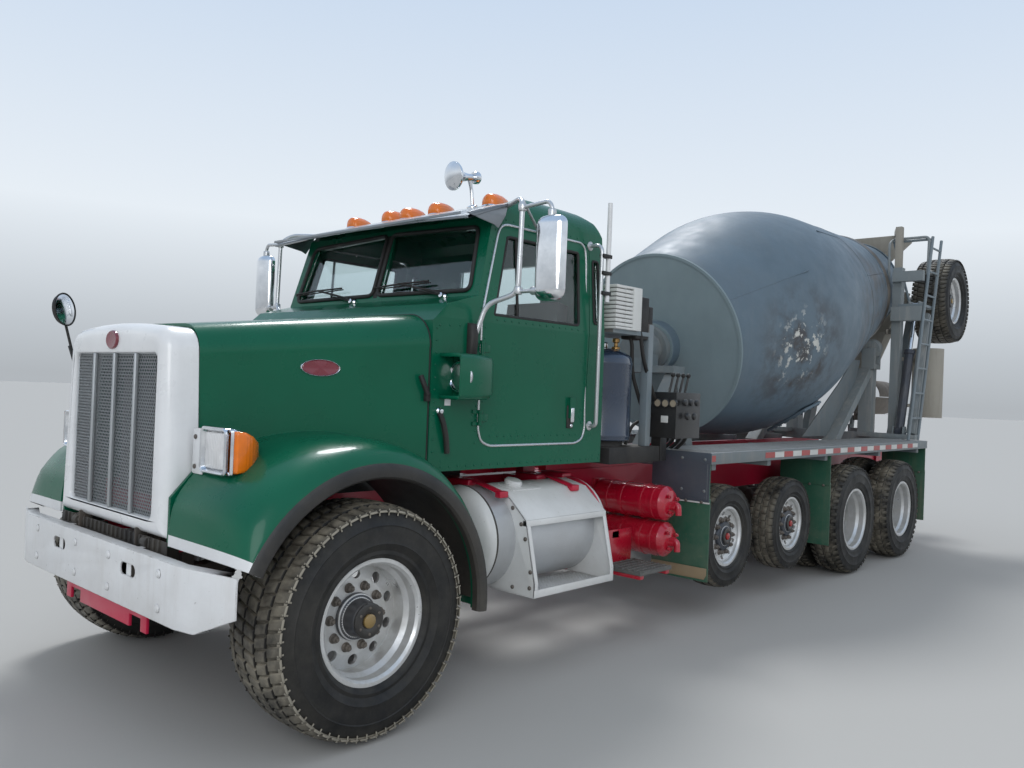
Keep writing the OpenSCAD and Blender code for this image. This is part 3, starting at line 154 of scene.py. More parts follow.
def blotches(tree, coords, size, low, high, detail=5.0, rough=0.6):
    """Soft patches over the surface, as a mask from 0 to 1: size is the patches per metre."""
    cloud = add(tree, "TexNoise", ("Vector", coords), ("Scale", size), ("Detail", detail),
        ("Roughness", rough))
    return add(tree, "MapRange", (0, cloud.outputs[0]), (1, low), (2, high)).outputs[0]


def times(tree, first, second):
    return add(tree, "Math", (0, first), (1, second), operation="MULTIPLY").outputs[0]


# Dust of the yard: thick low down and on what faces up, patchy everywhere
road_dust, given, result = effect("road_dust", ["Mask"], Amount=0.4, Level=1.3, Size=2.5)
coords = add(road_dust, "TexCoord").outputs["Object"]
height = add(road_dust, "SeparateXYZ", ("Vector", coords)).outputs["Z"]
low_down = add(road_dust, "MapRange", (0, height), (1, 0.1), (2, given["Level"]), (3, 1.0),
    (4, 0.22)).outputs[0]
facing = add(road_dust, "SeparateXYZ",
    ("Vector", add(road_dust, "NewGeometry").outputs["Normal"])).outputs["Z"]
settled = add(road_dust, "MapRange", (0, facing), (1, 0.3), (2, 1.0), (3, 0.0), (4, 0.45)).outputs[0]
cloud = add(road_dust, "TexNoise", ("Vector", coords), ("Scale", given["Size"]), ("Detail", 7.0),
    ("Roughness", 0.68))
patch = add(road_dust, "MapRange", (0, cloud.outputs[0]), (1, 0.32), (2, 0.72)).outputs[0]
laid = add(road_dust, "Math", (0, low_down), (1, settled), operation="ADD").outputs[0]
road_dust.links.new(times(road_dust, times(road_dust, laid, patch), given["Amount"]), result["Mask"])

# Chips and rubbed edges: where the surface turns sharply, broken up by noise, and a few loose chips
chipped, given, result = effect("chipped_edges", ["Mask"], Amount=0.5, Radius=0.006, Chips=0.0)
coords = add(chipped, "TexCoord").outputs["Object"]
rounded_normal = add(chipped, "Bevel", ("Radius", given["Radius"]), samples=3).outputs[0]
true_normal = add(chipped, "NewGeometry").outputs["Normal"]
same = add(chipped, "VectorMath", (0, rounded_normal), (1, true_normal),
    operation="DOT_PRODUCT").outputs["Value"]
edge = add(chipped, "MapRange", (0, same), (1, 0.985), (2, 0.9), (3, 0.0), (4, 1.0)).outputs[0]
rubbed = times(chipped, times(chipped, edge, blotches(chipped, coords, 22.0, 0.42, 0.62)), given["Amount"])
loose = times(chipped, blotches(chipped, coords, 55.0, 0.7, 0.76, 2.0, 0.5), given["Chips"])
chipped.links.new(add(chipped, "Math", (0, rubbed), (1, loose), operation="ADD", use_clamp=True).outputs[0],
    result["Mask"])

# Stains that run down a side: noise drawn out along the height
run_down, given, result = effect("run_down", ["Mask"], Amount=0.5, Size=9.0, Low=0.5, High=0.8)
coords = add(run_down, "TexCoord").outputs["Object"]
drawn = add(run_down, "Mapping", ("Vector", coords), ("Scale", (1.0, 1.0, 0.09)))
cloud = add(run_down, "TexNoise", ("Vector", drawn.outputs[0]), ("Scale", given["Size"]), ("Detail", 6.0),
    ("Roughness", 0.7))
mask = add(run_down, "MapRange", (0, cloud.outputs[0]), (1, given["Low"]), (2, given["High"])).outputs[0]
run_down.links.new(times(run_down, mask, given["Amount"]), result["Mask"])


def use(tree, effect_group, **values):
    """Places an effect in a material with its own values, and returns its mask."""
    made = tree.nodes.new("ShaderNodeGroup")
    made.node_tree = effect_group
    for label, value in values.items():
        made.inputs[label].default_value = value
    return made.outputs[0]


def blend_colour(tree, mask, first, second):
    return add(tree, "Mix", (0, mask), (6, first), (7, second), data_type="RGBA").outputs[2]


def new_finish(name, **levels):
    """A new material; levels are set on the shader's own sockets, named with _ for each space."""
    made = bpy.data.materials.new(name)
    made.use_nodes = True
    shader = made.node_tree.nodes["Principled BSDF"]
    for label, value in levels.items():
        shader.inputs[label.replace("_", " ")].default_value = value
    return made, made.node_tree, shader


def painted(name, colour, gloss=0.3, coat=0.3, dust=0.35, level=1.3, rubbed=0.6, chips=0.0,
        under=(70, 66, 62), dusty=(150, 140, 125), stain=0.0, stained=(90, 85, 80), grain=0.12, metallic=0.0,
        edge=0.005, sheen=0.5):
    """Sprayed steel: an uneven colour, stains that run down, chips to what is under it, and dust."""
    made, tree, shader = new_finish(name, Coat_Weight=coat, Coat_Roughness=0.06, Metallic=metallic,
        Specular_IOR_Level=sheen)
    coords = add(tree, "TexCoord").outputs["Object"]
    deep = tuple(c * 0.82 for c in tone(*colour)[:3]) + (1,)
    colour_now = blend_colour(tree, blotches(tree, coords, 1.7, 0.3, 0.7), deep, tone(*colour))
    rough_now = add(tree, "MapRange", (0, blotches(tree, coords, 6.0, 0.3, 0.75)), (3, gloss * 0.8),
        (4, gloss * 1.25)).outputs[0]
    if stain:
        streaks = use(tree, run_down, Amount=stain)
        colour_now = blend_colour(tree, streaks, colour_now, tone(*stained))
    worn = use(tree, chipped, Amount=rubbed, Chips=chips, Radius=edge)
    colour_now = blend_colour(tree, worn, colour_now, tone(*under))
    dust_mask = use(tree, road_dust, Amount=dust, Level=level)
    colour_now = blend_colour(tree, dust_mask, colour_now, tone(*dusty))
    rough_now = add(tree, "Mix", (0, dust_mask), (2, rough_now), (3, 0.85)).outputs[0]
    tree.links.new(colour_now, shader.inputs["Base Color"])
    tree.links.new(rough_now, shader.inputs["Roughness"])
    soft_edge = add(tree, "Bevel", ("Radius", edge), samples=3).outputs[0]
    peel = add(tree, "TexNoise", ("Vector", coords), ("Scale", 160.0), ("Detail", 3.0)).outputs[0]
    bump = add(tree, "Bump", ("Strength", grain), ("Distance", 0.002), ("Height", peel),
        ("Normal", soft_edge))
    tree.links.new(bump.outputs[0], shader.inputs["Normal"])
    return made


def coat(material, *nodes):
    """Gives carried-over CAD nodes their finish, slot by slot."""
    for name in nodes:
        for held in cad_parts[name].material_slots:
            held.material = material


frame_paint = painted("frame_red_paint", (186, 10, 52), gloss=0.38, dust=0.1, level=1.0, rubbed=0.2,
    chips=0.15)
coat(frame_paint, "frame_rails")


# The bumper is a pressed steel channel with swept ends, painted white and scuffed to bare steel by years of
# yards. Its oblong slots, edges and brackets are those of the CAD node; it is bolted on by eight dome heads.
def deselect():
    """Leaves nothing selected."""
    bpy.ops.object.select_all(action="DESELECT")


def out_of_edit():
    """Closes edit mode."""
    bpy.ops.object.mode_set(mode="OBJECT")


def only(piece):
    """Leaves one piece selected and active, out of edit mode."""
    if bpy.context.object and bpy.context.object.mode == "EDIT":
        out_of_edit()
    deselect()
    piece.select_set(True)
    bpy.context.view_layer.objects.active = piece


def rounded(piece, width, segments=2, angle=32):
    """Breaks every sharp edge with a small radius, applied to the mesh."""
    only(piece)
    soft = piece.modifiers.new("edges", "BEVEL")
    soft.width, soft.segments, soft.limit_method = width, segments, "ANGLE"
    soft.angle_limit = radians(angle)
    bpy.ops.object.modifier_apply(modifier="edges")
    return piece


def box(low, high, edge=0.003, segments=2):
    """A block by its least and its far corner, its edges rounded."""
    low, high = placed(low), placed(high)
    deselect()
    bpy.ops.mesh.primitive_cube_add(size=1, location=(low + high) / 2, scale=high - low)
    bpy.ops.object.transform_apply(location=True, rotation=True, scale=True)
    piece = bpy.context.object
    return rounded(piece, edge, segments) if edge else piece


def into_edit():
    """Opens the active piece in edit mode with everything in it selected."""
    bpy.ops.object.mode_set(mode="EDIT")
    bpy.ops.mesh.select_all(action="SELECT")


def turn_about(place, angle, axis):
    """The move that turns a piece by an angle about a place on the truck."""
    return Matrix.Translation(place) @ Matrix.Rotation(angle, 4, axis) @ Matrix.Translation(-place)


def turned(outline, at=Vector(), along=(1, 0, 0), steps=48):
    """A closed outline of (radius, distance along the axis) spun once round the axis."""
    deselect()
    bpy.ops.mesh.primitive_circle_add(vertices=len(outline), radius=1)
    piece = bpy.context.object
    axis = Vector(along).normalized()
    side = axis.orthogonal().normalized()
    for vertex, (radius, reach) in zip(piece.data.vertices, outline):
        vertex.co = side * radius + axis * reach
    into_edit()
    bpy.ops.mesh.spin(steps=steps, angle=2 * pi, center=(0, 0, 0), axis=axis)
    bpy.ops.mesh.select_all(action="SELECT")
    bpy.ops.mesh.remove_doubles(threshold=1e-5)
    bpy.ops.mesh.normals_make_consistent(inside=False)
    out_of_edit()
    piece.data.transform(Matrix.Translation(placed(at)))
    return piece


def copy_of(piece, move):
    """A copy with a mesh of its own, moved by a matrix."""
    twin = piece.copy()
    twin.data = piece.data.copy()
    twin.data.transform(move)
    bpy.context.collection.objects.link(twin)
    return twin


def repeat(piece, places):
    """Copies a finished mesh to each place, each copy with its own mesh, and joins the copies."""
    deselect()
    for place in places:
        twin = copy_of(piece, place if isinstance(place, Matrix) else Matrix.Translation(place))
        twin.select_set(True)
        bpy.context.view_layer.objects.active = twin
    bpy.data.objects.remove(piece)
    bpy.ops.object.join()
    return bpy.context.object


def joined(*pieces):
    """Makes one object of several; the first one's name and materials are kept."""
    deselect()
    for piece in pieces:
        piece.select_set(True)
    bpy.context.view_layer.objects.active = pieces[0]
    bpy.ops.object.join()
    return bpy.context.object


def mirrored_twin(piece):
    """A copy on the other side of the truck, its faces turned back outwards."""
    twin = copy_of(piece, Matrix.Scale(-1, 4, (1, 0, 0)))
    only(twin)
    into_edit()
    bpy.ops.mesh.flip_normals()
    out_of_edit()
    return twin


def fit(piece, name, material, slot, *replaced, body="chassis", smooth=35):
    """Names a finished piece, gives it its finish and body, and says which CAD nodes it stands for."""
    only(piece)
    piece.name = name
    if material:
        piece.data.materials.clear()
        piece.data.materials.append(material)
    bpy.ops.object.shade_smooth_by_angle(angle=radians(smooth))
    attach(piece, body)
    if replaced:
        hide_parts(*replaced)
    return piece


def dressed(node, width=0.003, segments=2, angle=32, flat=1.0):
    """A CAD node's mesh, merged, its flat faces made whole and its edges rounded."""
    piece = bpy.data.objects.new(node + "_copy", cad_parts[node].data.copy())
    bpy.context.collection.objects.link(piece)
    only(piece)
    into_edit()
    bpy.ops.mesh.remove_doubles(threshold=2e-5)
    bpy.ops.mesh.dissolve_limited(angle_limit=radians(flat))
    out_of_edit()
    return rounded(piece, width, segments, angle)


def recolour(piece, material, chosen):
    """Gives the faces that chosen(middle, normal) picks another material."""
    if material.name not in piece.data.materials:
        piece.data.materials.append(material)
    index = list(piece.data.materials).index(material)
    for face in piece.data.polygons:
        if chosen(face.center, face.normal):
            face.material_index = index


bumper_paint = painted("bumper_white", (236, 238, 240), gloss=0.42, dust=0.5, level=0.95, rubbed=0.9,
    chips=0.35, under=(105, 100, 96), stain=0.25, stained=(168, 160, 150), edge=0.007)
bumper = dressed("front_bumper", 0.006, 3)
for vertex in bumper.data.vertices:
    if vertex.co.y < steer_y - 0.775:
        vertex.co.y += 0.012
fit(bumper, "bumper_channel", bumper_paint, "body_white", "front_bumper")
skid_red = painted("skid_plate_red", (205, 8, 66), gloss=0.4, dust=0.0, rubbed=0.1)
black_panel = painted("black_panel", (24, 24, 26), gloss=0.6, coat=0.0, dust=0.5, level=1.2, rubbed=0.2)
recolour(bumper, skid_red, lambda middle, normal: abs(middle.x) < 0.475 and middle.z < 0.579)
# Painted shade: the brackets behind the bumper, beside the red plate, get the black finish to stand for the
# shade in the gap behind the bumper
recolour(bumper, black_panel, lambda middle, normal: middle.z > 0.579 and middle.y > steer_y - 0.77
    and 0.27 < abs(middle.x) < 0.475)
dome = turned([(0, -0.012), (0.014, -0.01), (0.019, -0.003), (0.021, 0.0), (0.0, 0.0)], along=(0, 1, 0),
    steps=16)
dome_places = [spot(side * x, -0.788, z) for side in (-1, 1) for x in (0.2, 0.72) for z in (0.64, 0.79)]
fit(repeat(dome, dome_places), "bumper_bolts", bumper_paint, "body_white")
apron = box((-0.61, -0.706, 0.6), (0.61, -0.698, 0.899), 0.004)
slats = [box((x - 0.006, -0.716, 0.85), (x + 0.006, -0.704, 0.899), 0.002)
    for x in [0.05 * step - 0.55 for step in range(23)]]
fit(joined(apron, *slats), "bumper_apron", black_panel, "black_trim")

# Axles, springs, knuckles, gearboxes and shafts: cast and forged steel, once painted black, now brown with
# dust and grease. All of them are carried over from the CAD frame.
greasy_iron = painted("greasy_iron", (44, 42, 41), gloss=0.55, coat=0.0, dust=0.75, level=1.6, rubbed=0.5,
    under=(110, 92, 78), dusty=(112, 100, 86), grain=0.5)
coat(greasy_iron, "steer_axle", "pusher_axles", "drive_axles", "knuckle_left", "knuckle_right", "engine")

# Tyres: moulded black rubber with block tread, worn grey-brown by the yard. A carcass is turned from its
# section, and one pitch of tread blocks is modelled and set round it. Sidewalls carry plain rings and ribs,
# with no lettering.
def tyre_rubber():
    made, tree, shader = new_finish("tyre_rubber", Specular_IOR_Level=0.4)
    coords = add(tree, "TexCoord")
    across = add(tree, "Math",
        (0, add(tree, "SeparateXYZ", ("Vector", coords.outputs["Normal"])).outputs["X"]),
        operation="ABSOLUTE")
    on_tread = add(tree, "MapRange", (0, across.outputs[0]), (1, 0.75), (2, 0.25), (3, 0.1),
        (4, 1.0)).outputs[0]
    coords = coords.outputs["Object"]
    black = blend_colour(tree, blotches(tree, coords, 7.0, 0.3, 0.7), tone(15, 16, 17), tone(27, 27, 28))
    dust_mask = times(tree, use(tree, road_dust, Amount=1.0, Level=5.0, Size=6.0), on_tread)
    colour_now = blend_colour(tree, dust_mask, black, tone(146, 139, 124))
    scuff = times(tree, blotches(tree, coords, 26.0, 0.5, 0.72, 6.0, 0.75), 0.1)
    colour_now = blend_colour(tree, scuff, colour_now, tone(88, 86, 82))
    tree.links.new(colour_now, shader.inputs["Base Color"])
    rough_now = add(tree, "MapRange", (0, blotches(tree, coords, 9.0, 0.3, 0.7)), (3, 0.46),
        (4, 0.72)).outputs[0]
    tree.links.new(rough_now, shader.inputs["Roughness"])
    grain = add(tree, "TexNoise", ("Vector", coords), ("Scale", 210.0), ("Detail", 5.0)).outputs[0]
    soft = add(tree, "Bevel", ("Radius", 0.003), samples=3).outputs[0]
    bump = add(tree, "Bump", ("Strength", 0.35), ("Distance", 0.0015), ("Height", grain), ("Normal", soft))
    tree.links.new(bump.outputs[0], shader.inputs["Normal"])
    return made


def block_pitch(radius, width, depth, pitch_angle, rows, skew):
    """One pitch of tread at the tyre's top: rows are (middle, width, lead, share of the pitch)."""
    blocks = []
    for middle, across, lead, share in rows:
        length = radius * pitch_angle * share
        deselect()
        bpy.ops.mesh.primitive_cube_add(size=1, location=(0, 0, 0), scale=(across * width, length, depth))
        bpy.ops.object.transform_apply(scale=True)
        block = bpy.context.object
        way = 1 if middle > 0 else -1
        for vertex in block.data.vertices:
            sunk = 0.006 if vertex.co.z > 0 else 0.0
            vertex.co.x *= 1 - sunk / (across * width)
            vertex.co.y = vertex.co.y * (1 - 2 * sunk / length) + skew * vertex.co.x * way
            at_x = middle * width + vertex.co.x
            drop = 0.055 * radius * (abs(at_x) / (width / 2)) ** 3.2
            top = radius - drop if vertex.co.z > 0 else radius - depth - drop * 0.8
            turned_by = (lead * pitch_angle * radius + vertex.co.y) / radius
            vertex.co = Vector((at_x, top * sin(turned_by), top * cos(turned_by)))
        blocks.append(rounded(block, 0.0022, 1))
    return joined(*blocks)


def tyre(radius, width, rim_radius, bead, depth, pitches, rows, skew):
    """A tyre round the X axis at the origin: carcass, sidewall rings and ribs, and tread."""
    inner = rim_radius - 0.018
    side_height = radius - inner
    share = [(0.03, bead), (0.1, 0.44), (0.14, 0.455), (0.2, 0.448), (0.3, 0.485), (0.325, 0.498),
        (0.35, 0.49), (0.5, 0.5), (0.62, 0.49), (0.64, 0.498), (0.66, 0.486), (0.78, 0.466), (0.85, 0.452),
        (0.9, 0.44)]
    half = [(inner + up * side_height, out * width) for up, out in share]
    crown = radius - depth
    half += [(crown - 0.055 * radius, 0.425 * width), (crown - 0.03 * radius, 0.38 * width),
        (crown - 0.012 * radius, 0.29 * width), (crown - 0.002, 0.15 * width), (crown, 0.0)]
    half = [(inner, bead * width - 0.004)] + half
    outline = half + [(up, -out) for up, out in reversed(half[:-1])]
    carcass = turned(outline, steps=128)
    step = 2 * pi / pitches
    tread = block_pitch(radius, width, depth, step, rows, skew)
    tread = repeat(tread, [Matrix.Rotation(i * step, 4, "X") for i in range(pitches)])
    rib = box(Vector((0.462 * width, -0.004, inner + 0.8 * side_height)),
        Vector((0.476 * width, 0.004, inner + 0.93 * side_height)), 0.0015, 1)
    ribs = [Matrix.Rotation(i * step, 4, "X") for i in range(pitches)]
    ribs += [turn_one @ Matrix.Rotation(pi, 4, "Z") for turn_one in ribs]
    return joined(carcass, tread, repeat(rib, ribs))


def middle_of(node):
    """The middle of a node's box."""
    low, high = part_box(node)
    return (low + high) / 2


def place_tyre(model, rim_node, x, offsets=(0.0,)):
    """A copy of a tyre model, or of a pair, about the middle of its rim."""
    middle = middle_of(rim_node)
    hub = Vector((x, middle.y, middle.z))
    twins = []
    for number, offset in enumerate(offsets):
        spin = Matrix.Rotation(0.35 * number + 0.7 * hub.y, 4, "X")
        twins.append(copy_of(model, Matrix.Translation(hub + Vector((offset, 0, 0))) @ spin))
    return joined(*twins)


rubber = tyre_rubber()
wide_rows = [(-0.405, 0.18, 0.0, 0.88), (-0.205, 0.18, 0.42, 0.9), (0.0, 0.188, 0.12, 0.9),
    (0.205, 0.18, 0.62, 0.9), (0.405, 0.18, 0.2, 0.88)]
wide_model = tyre(radius=0.548, width=0.415, rim_radius=0.298, bead=0.368, depth=0.014, pitches=58,
    rows=wide_rows, skew=0.22)
narrow_rows = [(-0.39, 0.2, 0.0, 0.62), (-0.13, 0.2, 0.5, 0.8), (0.13, 0.2, 0.15, 0.8),
    (0.39, 0.2, 0.65, 0.62)]
drive_model = tyre(radius=0.522, width=0.278, rim_radius=0.298, bead=0.374, depth=0.013, pitches=50,
    rows=narrow_rows, skew=0.25)
pusher_rows = [(-0.38, 0.2, 0.0, 0.93), (-0.13, 0.2, 0.5, 0.9), (0.13, 0.2, 0.15, 0.9),
    (0.38, 0.2, 0.65, 0.93)]
pusher_model = tyre(radius=0.395, width=0.24, rim_radius=0.234, bead=0.346, depth=0.01, pitches=40,
    rows=pusher_rows, skew=0.1)
steer_x = middle_of("steer_tyre_left").x
drive_x = middle_of("drive_tyres_1_left").x
pusher_x = middle_of("pusher_tyre_1_left").x
booster_x = middle_of("booster_tyre_left").x
for side, way in (("left", 1), ("right", -1)):
    placed_tyre = place_tyre(wide_model, "steer_rim_" + side, way * steer_x)
    fit(placed_tyre, "steer_tyre_" + side + "_treaded", rubber, "tyre_rubber", "steer_tyre_" + side,
        body="steer_wheel_" + side)
    placed_tyre = place_tyre(wide_model, "booster_rim_" + side, way * booster_x)
    fit(placed_tyre, "booster_tyre_" + side + "_treaded", rubber, "tyre_rubber", "booster_tyre_" + side,
        body="booster_wheel_" + side)
    for number in ("1", "2"):
        mark = number + "_" + side
        placed_tyre = place_tyre(drive_model, "drive_rims_" + mark, way * drive_x, (-0.1715, 0.1715))
        fit(placed_tyre, "drive_tyres_" + mark + "_treaded", rubber, "tyre_rubber", "drive_tyres_" + mark,
            body="drive_wheels_" + mark)
        placed_tyre = place_tyre(pusher_model, "pusher_rim_" + mark, way * pusher_x)
        fit(placed_tyre, "pusher_tyre_" + mark + "_treaded", rubber, "tyre_rubber", "pusher_tyre_" + mark,
            body="pusher_wheel_" + mark)
shoulder_wear = painted("shoulder_wear", (158, 153, 140), gloss=0.8, coat=0.0, dust=0.3, rubbed=0.0,
    stain=0.6, stained=(60, 58, 54))
for side in ("left", "right"):
    recolour(bpy.data.objects["steer_tyre_" + side + "_treaded"], shoulder_wear,
        lambda middle, normal: abs(normal.x) > 0.5 and abs(middle.x) > steer_x + 0.15
        and 0.511 < hypot(middle.y - steer_y, middle.z - (steer_low.z + steer_high.z) / 2) < 0.522)
for model in (wide_model, drive_model, pusher_model):
    bpy.data.objects.remove(model)

# Disc wheels of forged aluminium: machined and polished, dulled by dust round the hand holes. Ten flanged
# steel nuts hold each one to its iron hub, which is closed by a dark cap with an oil window.
def wheel_alloy():
    made, tree, shader = new_finish("wheel_alloy", Metallic=0.6)
    coords = add(tree, "TexCoord").outputs["Object"]
    bright = blend_colour(tree, blotches(tree, coords, 9.0, 0.3, 0.7), tone(206, 206, 204),
        tone(230, 231, 232))
    dust_mask = use(tree, road_dust, Amount=0.5, Level=2.2, Size=7.0)
    tree.links.new(blend_colour(tree, dust_mask, bright, tone(176, 172, 162)), shader.inputs["Base Color"])
    rough_now = add(tree, "MapRange", (0, blotches(tree, coords, 14.0, 0.3, 0.7)), (3, 0.24),
        (4, 0.46)).outputs[0]
    tree.links.new(add(tree, "Mix", (0, dust_mask), (2, rough_now), (3, 0.75)).outputs[0],
        shader.inputs["Roughness"])
    soft = add(tree, "Bevel", ("Radius", 0.004), samples=3).outputs[0]
    scratch = add(tree, "TexNoise", ("Vector", coords), ("Scale", 320.0), ("Detail", 2.0)).outputs[0]
    bump = add(tree, "Bump", ("Strength", 0.12), ("Distance", 0.001), ("Height", scratch), ("Normal", soft))
    tree.links.new(bump.outputs[0], shader.inputs["Normal"])
    return made


alloy = wheel_alloy()
nut_steel = painted("nut_steel", (104, 98, 94), gloss=0.5, coat=0.0, dust=0.5, level=2.5, rubbed=0.5,
    under=(140, 130, 120), metallic=0.5)
hub_iron = painted("hub_iron", (50, 60, 74), gloss=0.35, coat=0.2, dust=0.35, level=2.5, rubbed=0.4,
    metallic=0.4)
cap_black = painted("hub_cap_black", (20, 20, 22), gloss=0.3, coat=0.4, dust=0.12, level=2.5, rubbed=0.2)
oil_window = painted("oil_window", (150, 122, 60), gloss=0.2, coat=0.8, dust=0.15, level=2.5, rubbed=0.0)
oil_window_red = painted("oil_window_red", (170, 30, 30), gloss=0.25, coat=0.6, dust=0.2, level=2.5,
    rubbed=0.0)


def hex_nut(size):
    """A flanged hexagon nut on its stud, pointing along X from the wheel's face."""
    deselect()
    bpy.ops.mesh.primitive_cylinder_add(vertices=6, radius=size, depth=0.022, location=(0.015, 0, 0),
        rotation=(0, pi / 2, 0))
    bpy.ops.object.transform_apply(location=True, rotation=True)
    body = rounded(bpy.context.object, 0.0022, 2)
    flange = turned([(0, 0), (size * 1.28, 0), (size * 1.28, 0.003), (size, 0.008), (0, 0.008)], steps=20)
    stud = turned([(0, 0.02), (size * 0.55, 0.02), (size * 0.55, 0.034), (size * 0.42, 0.038), (0, 0.038)],
        steps=12)
    return joined(body, flange, stud)


# A wheel's face: radius of the nut circle, where the nuts and the cap stand from the middle of the tyre, the
# cap's radius and its window. Each entry of faces has the rim node, body, side and middle of the tyre first.
wide_face = (0.145, 0.022, 0.13, 0.078, oil_window)
pusher_face = (0.128, 0.052, 0.095, 0.062, oil_window_red)
drive_face = (0.145, 0.02, 0.15, 0.07, oil_window_red)
faces = []
for side, way in (("left", 1), ("right", -1)):
    faces.append(("steer_rim_" + side, "steer_wheel_" + side, way, steer_x, *wide_face))
    faces.append(("booster_rim_" + side, "booster_wheel_" + side, way, booster_x, *wide_face))
    for number in ("1", "2"):
        mark = number + "_" + side
        faces.append(("pusher_rim_" + mark, "pusher_wheel_" + mark, way, pusher_x, *pusher_face))
        faces.append(("drive_rims_" + mark, "drive_wheels_" + mark, way, drive_x, *drive_face))
for rim, body, way, middle_x, circle, face_x, cap_x, cap_r, window in faces:
    coat(alloy, rim)
    middle = middle_of(rim)
    hub = Vector((way * middle_x, middle.y, middle.z))
    outwards = Matrix.Translation(hub) @ (Matrix.Identity(4) if way > 0 else Matrix.Rotation(pi, 4, "Z"))
    nuts = repeat(hex_nut(0.0185),
        [Matrix.Rotation(i * pi / 5 + 0.3, 4, "X") @ Matrix.Translation((face_x, 0, circle))
        for i in range(10)])
    ring = turned([(cap_r + 0.004, face_x), (0.112, face_x), (0.112, face_x + 0.016), (0.104, face_x + 0.024),
        (cap_r + 0.012, face_x + 0.028), (cap_r + 0.004, cap_x - 0.006)], steps=48)
    cap = turned([(0, cap_x - 0.02), (cap_r + 0.004, cap_x - 0.02), (cap_r + 0.004, cap_x + 0.002),
        (cap_r - 0.008, cap_x + 0.007), (cap_r * 0.55, cap_x + 0.005), (cap_r * 0.45, cap_x), (0, cap_x)],
        steps=40)
    glass = turned([(0, cap_x - 0.002), (cap_r * 0.42, cap_x - 0.002), (cap_r * 0.42, cap_x + 0.009),
        (cap_r * 0.3, cap_x + 0.014), (0, cap_x + 0.016)], steps=28)
    bolt = turned([(0, 0), (0.0075, 0), (0.0075, 0.004), (0.005, 0.006), (0, 0.006)],
        Vector((cap_x + 0.004, 0, cap_r * 0.78)), (1, 0, 0), 6)
    bolts = repeat(bolt, [Matrix.Rotation(i * pi / 3, 4, "X") for i in range(6)])
    for piece, finish, label in ((nuts, nut_steel, "nuts"), (ring, hub_iron, "hub"), (cap, cap_black, "cap"),
            (glass, window, "window"), (bolts, nut_steel, "cap_bolts")):
        piece.data.transform(outwards)
        fit(piece, body + "_" + label, finish, "dark_iron", body=body)

# Hood and fenders: glass-fibre mouldings bonded into one tilting shell, sprayed in the cab's glossy green.
# The body is lofted through its cross sections and the fenders round the wheel arch, and both get a real
# wall.
green_paint = painted("cab_green_paint", (0, 94, 68), gloss=0.3, coat=0.25, dust=0.02, level=1.2, rubbed=0.06,
    under=(90, 150, 125), grain=0.03, sheen=0.2)


def lofted(rows, wall=0.0, inwards=True):
    """A skin through rows of points, all rows equally long; a wall thickness makes it a shell."""
    deselect()
    bpy.ops.mesh.primitive_grid_add(x_subdivisions=len(rows[0]) - 1, y_subdivisions=len(rows) - 1, size=1)
    piece = bpy.context.object
    for vertex, point in zip(piece.data.vertices, [point for row in rows for point in row]):
        vertex.co = point
    into_edit()
    bpy.ops.mesh.remove_doubles(threshold=1e-5)
    bpy.ops.mesh.normals_make_consistent(inside=not inwards)
    out_of_edit()
    if wall:
        shell = piece.modifiers.new("wall", "SOLIDIFY")
        shell.thickness, shell.offset = wall, -1
        bpy.ops.object.modifier_apply(modifier="wall")
    return piece


def along_line(table, value):
    """Reads a smooth curve given as (place, value) pairs."""
    for (start, first), (end, last) in zip(table, table[1:]):
        if value <= end:
            share = min(1, max(0, (value - start) / (end - start)))
            return first + (last - first) * share
    return table[-1][1]


def arc(x, z, radius, start, count=9):
    """A quarter of a circle, counted from its start in degrees, as (x, z) points."""
    turns = [radians(start + step * 90 / (count - 1)) for step in range(count)]
    return [(x + radius * cos(a), z + radius * sin(a)) for a in turns]


def hood_share(station):
    """How far back a station lies on the hood: 0 at its front edge, 1 at the cowl."""
    return (station + 0.56) / 1.09


def hood_half(station):
    """Half of the hood's width at a station."""
    return 0.56 + 0.38 * hood_share(station)


def hood_section(station, low=1.24):
    """Half of the hood's cross section, from its lower edge up over the shoulder to the middle."""
    half, top = hood_half(station), 1.9 + 0.13 * hood_share(station)
    radius = 0.15 + 0.02 * hood_share(station)
    points = [(half, low), (half, low + 0.18), (half - 0.001, (low + top - radius) / 2),
        (half - 0.002, top - radius - 0.01)]
    points += arc(half - radius, top - radius, radius, 0)
    points += [(half * share, top + 0.006 * (1 - share)) for share in (0.62, 0.42, 0.22, 0.1, 0.0)]
    return points


rows = []
for station in [-0.559, -0.552, -0.4, -0.2, 0.0, 0.2, 0.4, 0.522, 0.529]:
    half = hood_section(station)
    whole = [(x, z) for x, z in half] + [(-x, z) for x, z in reversed(half[:-1])]
    rows.append([spot(x, station, z) for x, z in whole])
hood_body = lofted(rows, 0.018)

# Outline of the fender's top in polar measure about the wheel: (degrees from straight ahead, distance)
crest = [(20, 0.765), (24, 0.775), (31, 0.822), (38, 0.871), (45, 0.884), (51, 0.889), (60, 0.876),
    (70, 0.865), (80, 0.856), (90, 0.85), (102, 0.843), (114, 0.834), (126, 0.812), (137, 0.785),
    (150, 0.752), (165, 0.735), (182, 0.738), (186, 0.738)]
lip_r, arch_r = 0.735, 0.668
wheel_z = (steer_low.z + steer_high.z) / 2


